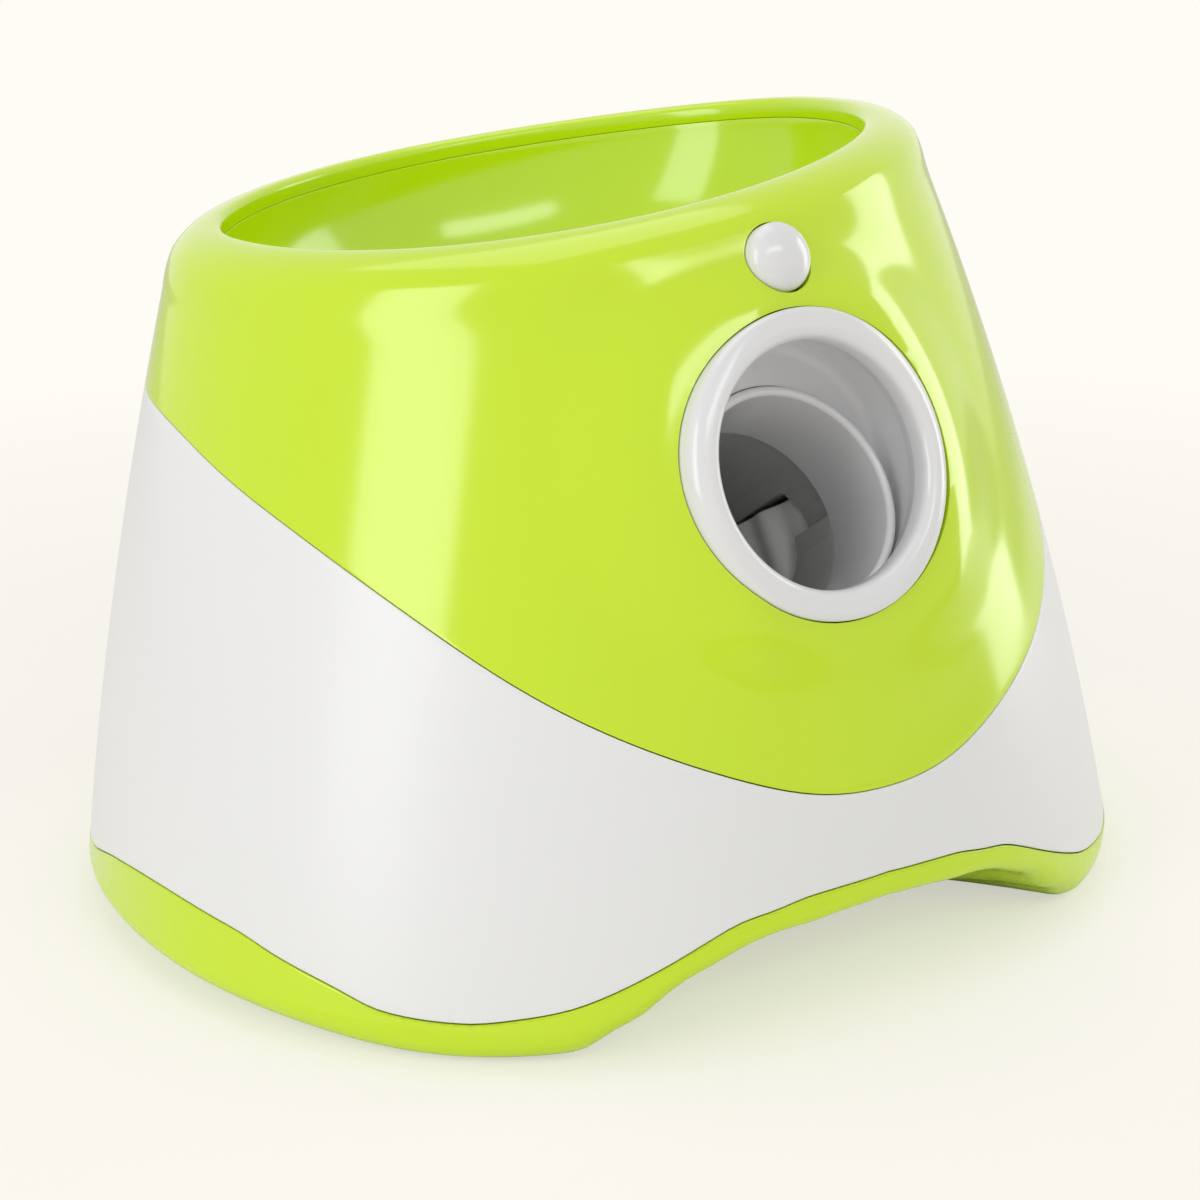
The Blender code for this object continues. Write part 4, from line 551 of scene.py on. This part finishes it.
def makeNozzle():
    look = {"radius": 0.0368, "edge": 0.0015, "throat": 0.0294, "flare": 0.0036, "fillet": 0.0030, "length": 0.0140, "wall": 0.0020,
            "tail": 0.0255, "tailHole": 0.0200, "tailFillet": 0.0040, "domeStart": 0.0310, "domeDrop": 0.0034, "bore": 0.0260,
            "sleeveWall": 0.0025, "sleeveLength": 0.0247, "flange": 0.0024, "flangeRadius": 0.0315, "steps": 160}
    wide, soft = look["throat"] + look["flare"], look["tailFillet"]
    inner = -look["tail"] + look["wall"]
    profile = np.concatenate((
        arcPoints((look["radius"] - look["edge"], -look["edge"]), look["edge"], 90, 0, 8),
        [(look["radius"], -look["length"] + look["wall"]), (wide + look["wall"], -look["length"]),
         (wide + look["wall"], -look["tail"]), (look["tailHole"], -look["tail"]), (look["tailHole"], inner)],
        arcPoints((wide - soft, inner + soft), soft, -90, 0, 8),
        np.linspace((wide - 0.0002, -look["length"] + 0.001), (look["throat"], -2 * look["fillet"]), 6),
        arcPoints((look["throat"] + look["fillet"], -look["fillet"]), look["fillet"], 180, 90, 12),
        np.linspace((look["throat"] + look["fillet"], 0), (look["radius"] - look["edge"], 0), 6)[1:-1]))
    points = turnedPoints(profile, look["steps"])
    # The face drops at the left and right, where the body behind it curves away
    span = look["radius"] - look["domeStart"]
    out = np.clip((np.hypot(points[..., 0], points[..., 1]) - look["domeStart"]) / span, 0, 1)
    sideways = points[..., 0] ** 2 / look["radius"] ** 2
    points[..., 2] -= look["domeDrop"] * out ** 2 * sideways * (points[..., 2] > -look["length"] / 2)
    mesh = makeMesh("nozzle", moved(points, nozzleFrame), gridFaces(len(profile), look["steps"], True))
    piece = makePiece("nozzle_ring_gloss", mesh, "casing", ["nozzle_ring"])
    circle = arcPoints((0, 0), 1, 0, 360, look["steps"])[:-1]
    pocket = look["bore"] + look["sleeveWall"] + casing["gap"]
    cutWith(piece, [prismMesh("pocket", circle * pocket, -look["sleeveLength"], 0.0003, barrelFrame)])
    half = look["sleeveWall"] / 2
    outer, length = look["bore"] + look["sleeveWall"], look["sleeveLength"]
    profile = np.concatenate((
        arcPoints((look["bore"] + half, -half), half, 90, 0, 6),
        [(outer, -length + look["flange"]), (look["flangeRadius"], -length + look["flange"]), (look["flangeRadius"], -length),
         (look["bore"], -length)],
        arcPoints((look["bore"] + half, -half), half, 180, 96, 6)))
    makePiece("barrel_sleeve_gloss", turnedMesh("sleeve", profile, look["steps"], barrelFrame), "casing", ["barrel_sleeve"])
    print("nozzle ready")


def makeSensorCover():
    look = {"radius": 0.0084, "crown": 0.0046, "flange": 0.0018, "step": 0.0055, "wall": 0.0012, "steps": 96}
    inner = look["radius"] - look["wall"]
    a = np.radians(np.linspace(0, 90, 15))
    crown = np.stack((look["radius"] * np.sin(a), look["crown"] * np.cos(a)), -1)
    under = np.stack((inner * np.sin(a[::-1]), (look["crown"] - look["wall"]) * np.cos(a[::-1])), -1)
    back = -look["step"] - look["wall"]
    rim = look["radius"] + look["flange"]
    profile = np.concatenate((crown, [(look["radius"], -look["step"]), (rim, -look["step"]), (rim, back), (inner, back)], under))
    mesh = turnedMesh("sensorCover", profile, look["steps"], sensorFrame, closedRows=False)
    makePiece("sensor_cover_gloss", mesh, "casing", ["sensor_dome"])


def makeWheel(side, word):
    # Tread: radius = middle + rib/2 cos(ribs a), with its edges rolled; hub: a web between rim and boss
    look = {"offset": 0.0530, "back": 0.0600, "radius": 0.0310, "thickness": 0.0210, "tread": 0.0035, "rib": 0.0014, "ribs": 18,
            "round": 0.0012, "steps": 288, "web": 0.0040, "rim": 0.0026, "boss": 0.0060, "bore": 0.0019}
    centre = barrelFrame @ Vector((side * look["offset"], 0, -look["back"]))
    frameHere = Matrix.Translation(centre) @ Matrix.Rotation(-math.radians(33), 4, "X")
    a = 2 * np.pi * np.arange(look["steps"]) / look["steps"]
    half, bend = look["thickness"] / 2, look["round"]
    wave = look["radius"] - look["rib"] / 2 + look["rib"] / 2 * np.cos(look["ribs"] * a)
    inside = look["radius"] - look["rib"] - look["tread"]
    corner = np.radians(np.linspace(0, 90, 5))
    section = [(-bend * (1 - math.sin(b)), -half + bend * (1 - math.cos(b))) for b in corner]
    section += [(-bend * (1 - math.cos(b)), half - bend * (1 - math.sin(b))) for b in corner]
    rows = [np.stack(((wave + d) * np.cos(a), (wave + d) * np.sin(a), z + 0 * a), -1) for d, z in section]
    rows += [np.stack(((inside + casing["gap"]) * np.cos(a), (inside + casing["gap"]) * np.sin(a), z + 0 * a), -1) for z in (half, -half)]
    mesh = makeMesh("tread", moved(np.array(rows), frameHere), gridFaces(len(rows), look["steps"], True))
    makePiece(f"wheel_tread_{word}_ribbed", mesh, f"{word}_wheel", [f"wheel_tread_{word}"])
    inner, web = inside - look["rim"], look["web"] / 2
    profile = [(inside, half), (inside, -half), (inner, -half), (inner - 0.0008, -web - 0.0008), (inner - 0.0018, -web),
               (look["boss"], -web), (look["boss"] - 0.0003, -half), (look["bore"], -half), (look["bore"], half),
               (look["boss"] - 0.0003, half), (look["boss"], web), (inner - 0.0018, web), (inner - 0.0008, web + 0.0008), (inner, half)]
    makePiece(f"wheel_hub_{word}_turned", turnedMesh("hub", profile, 96, frameHere), f"{word}_wheel", [f"wheel_hub_{word}"])


makeNozzle()
makeSensorCover()
makeWheel(-1, "left")
makeWheel(1, "right")
print("launch end ready")


# Small pieces whose CAD shape stays, with the edges that moulding or punching gives them

softEdges = {
    "power_rocker": ("rocker", 0.0004), "switch_body": ("casing", 0.0005), "battery_door": ("door", 0.0005),
    "control_panel": ("casing", 0.0004), "feed_gate": ("gate", 0.0005), "gate_bracket": ("casing", 0.0004),
    "cradle_left": ("casing", 0.0004), "cradle_right": ("casing", 0.0004), "battery_case": ("casing", 0.0006),
    "tact_switch": ("casing", 0.0003),
}
for nodeName, (bodyName, edgeRadius) in softEdges.items():
    softCopy(nodeName + "_soft", nodeName, bodyName, edgeRadius)


def makeRoundPieces():
    # Button with a dished crown, feet with a rolled rim: profiles carried round their own axes
    button = {"radius": 0.0060, "proud": 0.0020, "flange": 0.0012, "ledge": -0.0028, "dish": 0.0004, "edge": 0.0006}
    r, e = button["radius"], button["edge"]
    crown = [(0, button["proud"] - button["dish"]), (0.4 * r, button["proud"] - 0.8 * button["dish"]),
             (0.75 * r, button["proud"] - 0.2 * button["dish"])]
    profile = np.concatenate((crown, arcPoints((r - e, button["proud"] - e), e, 90, 0, 5),
                              [(r, button["ledge"]), (r + button["flange"], button["ledge"]),
                               (r + button["flange"], button["ledge"] - button["flange"]), (0, button["ledge"] - button["flange"])]))
    mesh = turnedMesh("button", profile, 64, panelFrame, closedRows=False)
    makePiece("distance_button_dished", mesh, "button", ["distance_button"])
    foot = {"radius": 0.0070, "thickness": 0.0019, "edge": 0.0006, "place": 0.0840}
    r, e = foot["radius"], foot["edge"]
    profile = np.concatenate(([(0, foot["thickness"]), (r, foot["thickness"])], arcPoints((r - e, e), e, 0, -90, 5), [(0, 0)]))
    number = 0
    for x in (-1, 1):
        for y in (-1, 1):
            number += 1
            spot = Matrix.Translation((x * foot["place"], y * foot["place"] + casing["footprintShift"], 0))
            mesh = turnedMesh("foot", profile, 48, spot, closedRows=False)
            makePiece(f"rubber_foot_{number}_rolled", mesh, "casing", [f"rubber_foot_{number}"])


makeRoundPieces()
print("small pieces ready")


# Studio: pale floor, soft lamps, camera at the photograph's angle

studio = {"floor": "#fffcf5", "nearLift": 0.55, "nearReach": 0.22, "farReach": 0.70, "world": 0.53, "floorSize": 14.0}
lamps = {
    "sideStrip": {"at": (-1.05, -0.28, 0.50), "aim": (0, 0, 0.10), "size": (0.46, 0.80), "power": 3.6},
    "frontFill": {"at": (0.05, -1.20, 1.05), "aim": (0, 0, 0.08), "size": (0.95, 0.20), "power": 2.4},
    "rightStrip": {"at": (1.05, -0.25, 0.30), "aim": (0, 0, 0.10), "size": (0.36, 0.80), "power": 2.5},
    "topSoft": {"at": (0.0, 0.25, 1.30), "aim": (0, 0, 0.10), "size": (0.90, 0.90), "power": 2.8},
}


def makeStudio():
    made, tree, shader = newMaterial("studioFloorPaper")
    output = next(n for n in tree.nodes if n.type == "OUTPUT_MATERIAL")
    shader.inputs["Base Color"].default_value = toLinear(studio["floor"])
    shader.inputs["Roughness"].default_value = 0.9
    path = addNode(tree, "ShaderNodeLightPath")
    glow = addNode(tree, "ShaderNodeEmission", {"Color": toLinear(studio["floor"]), "Strength": 1.0})
    # The paper fades into the backdrop away from the object and keeps the soft shadow beside it
    place = addNode(tree, "ShaderNodeTexCoord")
    reach = addNode(tree, "ShaderNodeVectorMath", None, {0: (place, "Object")}, operation="LENGTH")
    lift = addNode(tree, "ShaderNodeMapRange", {"From Min": studio["nearReach"], "From Max": studio["farReach"],
                                                "To Min": studio["nearLift"], "To Max": 1.0}, {"Value": (reach, "Value")})
    share = addNode(tree, "ShaderNodeMath", None, {0: (path, "Is Camera Ray"), 1: (lift, "Result")}, operation="MULTIPLY")
    mixed = addNode(tree, "ShaderNodeMixShader", None, {0: (share, "Value"), 1: (shader, "BSDF"), 2: (glow, "Emission")})
    tree.links.new(mixed.outputs["Shader"], output.inputs["Surface"])
    half = studio["floorSize"] / 2
    mesh = bpy.data.meshes.new("floor")
    mesh.from_pydata([(-half, -half, 0), (half, -half, 0), (half, half, 0), (-half, half, 0)], [], [(0, 1, 2, 3)])
    floor = bpy.data.objects.new("studio_floor", mesh)
    mesh.materials.append(made)
    scene.collection.objects.link(floor)
    world = bpy.data.worlds.new("studioWorld")
    scene.world = world
    world.use_nodes = True
    tree = world.node_tree
    tree.nodes.clear()
    path = addNode(tree, "ShaderNodeLightPath")
    seen = addNode(tree, "ShaderNodeMath", None, {0: (path, "Is Camera Ray"), 1: (path, "Is Transmission Ray")}, operation="MAXIMUM")
    seen = addNode(tree, "ShaderNodeMath", None, {0: (seen, "Value"), 1: (path, "Is Glossy Ray")}, operation="MAXIMUM")
    light = addNode(tree, "ShaderNodeBackground", {"Color": (1, 1, 1, 1), "Strength": studio["world"]})
    backdrop = addNode(tree, "ShaderNodeBackground", {"Color": toLinear(studio["floor"]), "Strength": 1.0})
    mixed = addNode(tree, "ShaderNodeMixShader", None, {0: (seen, "Value"), 1: (light, "Background"), 2: (backdrop, "Background")})
    addNode(tree, "ShaderNodeOutputWorld", None, {"Surface": (mixed, "Shader")})
    for name, look in lamps.items():
        data = bpy.data.lights.new(name, "AREA")
        data.shape = "RECTANGLE"
        data.size, data.size_y = look["size"]
        data.energy = look["power"]
        lamp = bpy.data.objects.new(name, data)
        lamp.location = look["at"]
        away = Vector(look["aim"]) - Vector(look["at"])
        lamp.rotation_euler = away.to_track_quat("-Z", "Y").to_euler()
        scene.collection.objects.link(lamp)


def makeCamera():
    look = {"azimuth": -32.151, "elevation": 17.515, "distance": 0.60598, "focalPixels": 2191.907, "imagePixels": 1200,
            "target": (0, -0.00378, 0.06881), "roll": -0.725, "sensor": 36.0}
    a, e, r = (math.radians(look[k]) for k in ("azimuth", "elevation", "roll"))
    target = Vector(look["target"])
    at = target + look["distance"] * Vector((math.sin(a) * math.cos(e), -math.cos(a) * math.cos(e), math.sin(e)))
    ahead = (target - at).normalized()
    right = Vector((math.cos(a), math.sin(a), 0))
    up = right.cross(ahead)
    turnedRight = right * math.cos(r) + up * math.sin(r)
    turnedUp = up * math.cos(r) - right * math.sin(r)
    data = bpy.data.cameras.new("photoCamera")
    data.sensor_width = look["sensor"]
    data.lens = look["focalPixels"] * look["sensor"] / look["imagePixels"]
    data.clip_end = 30.0
    camera = bpy.data.objects.new("photoCamera", data)
    matrix = Matrix((turnedRight, turnedUp, -ahead)).transposed().to_4x4()
    matrix.translation = at
    camera.matrix_world = matrix
    scene.collection.objects.link(camera)
    scene.camera = camera


makeStudio()
makeCamera()
print("studio ready")
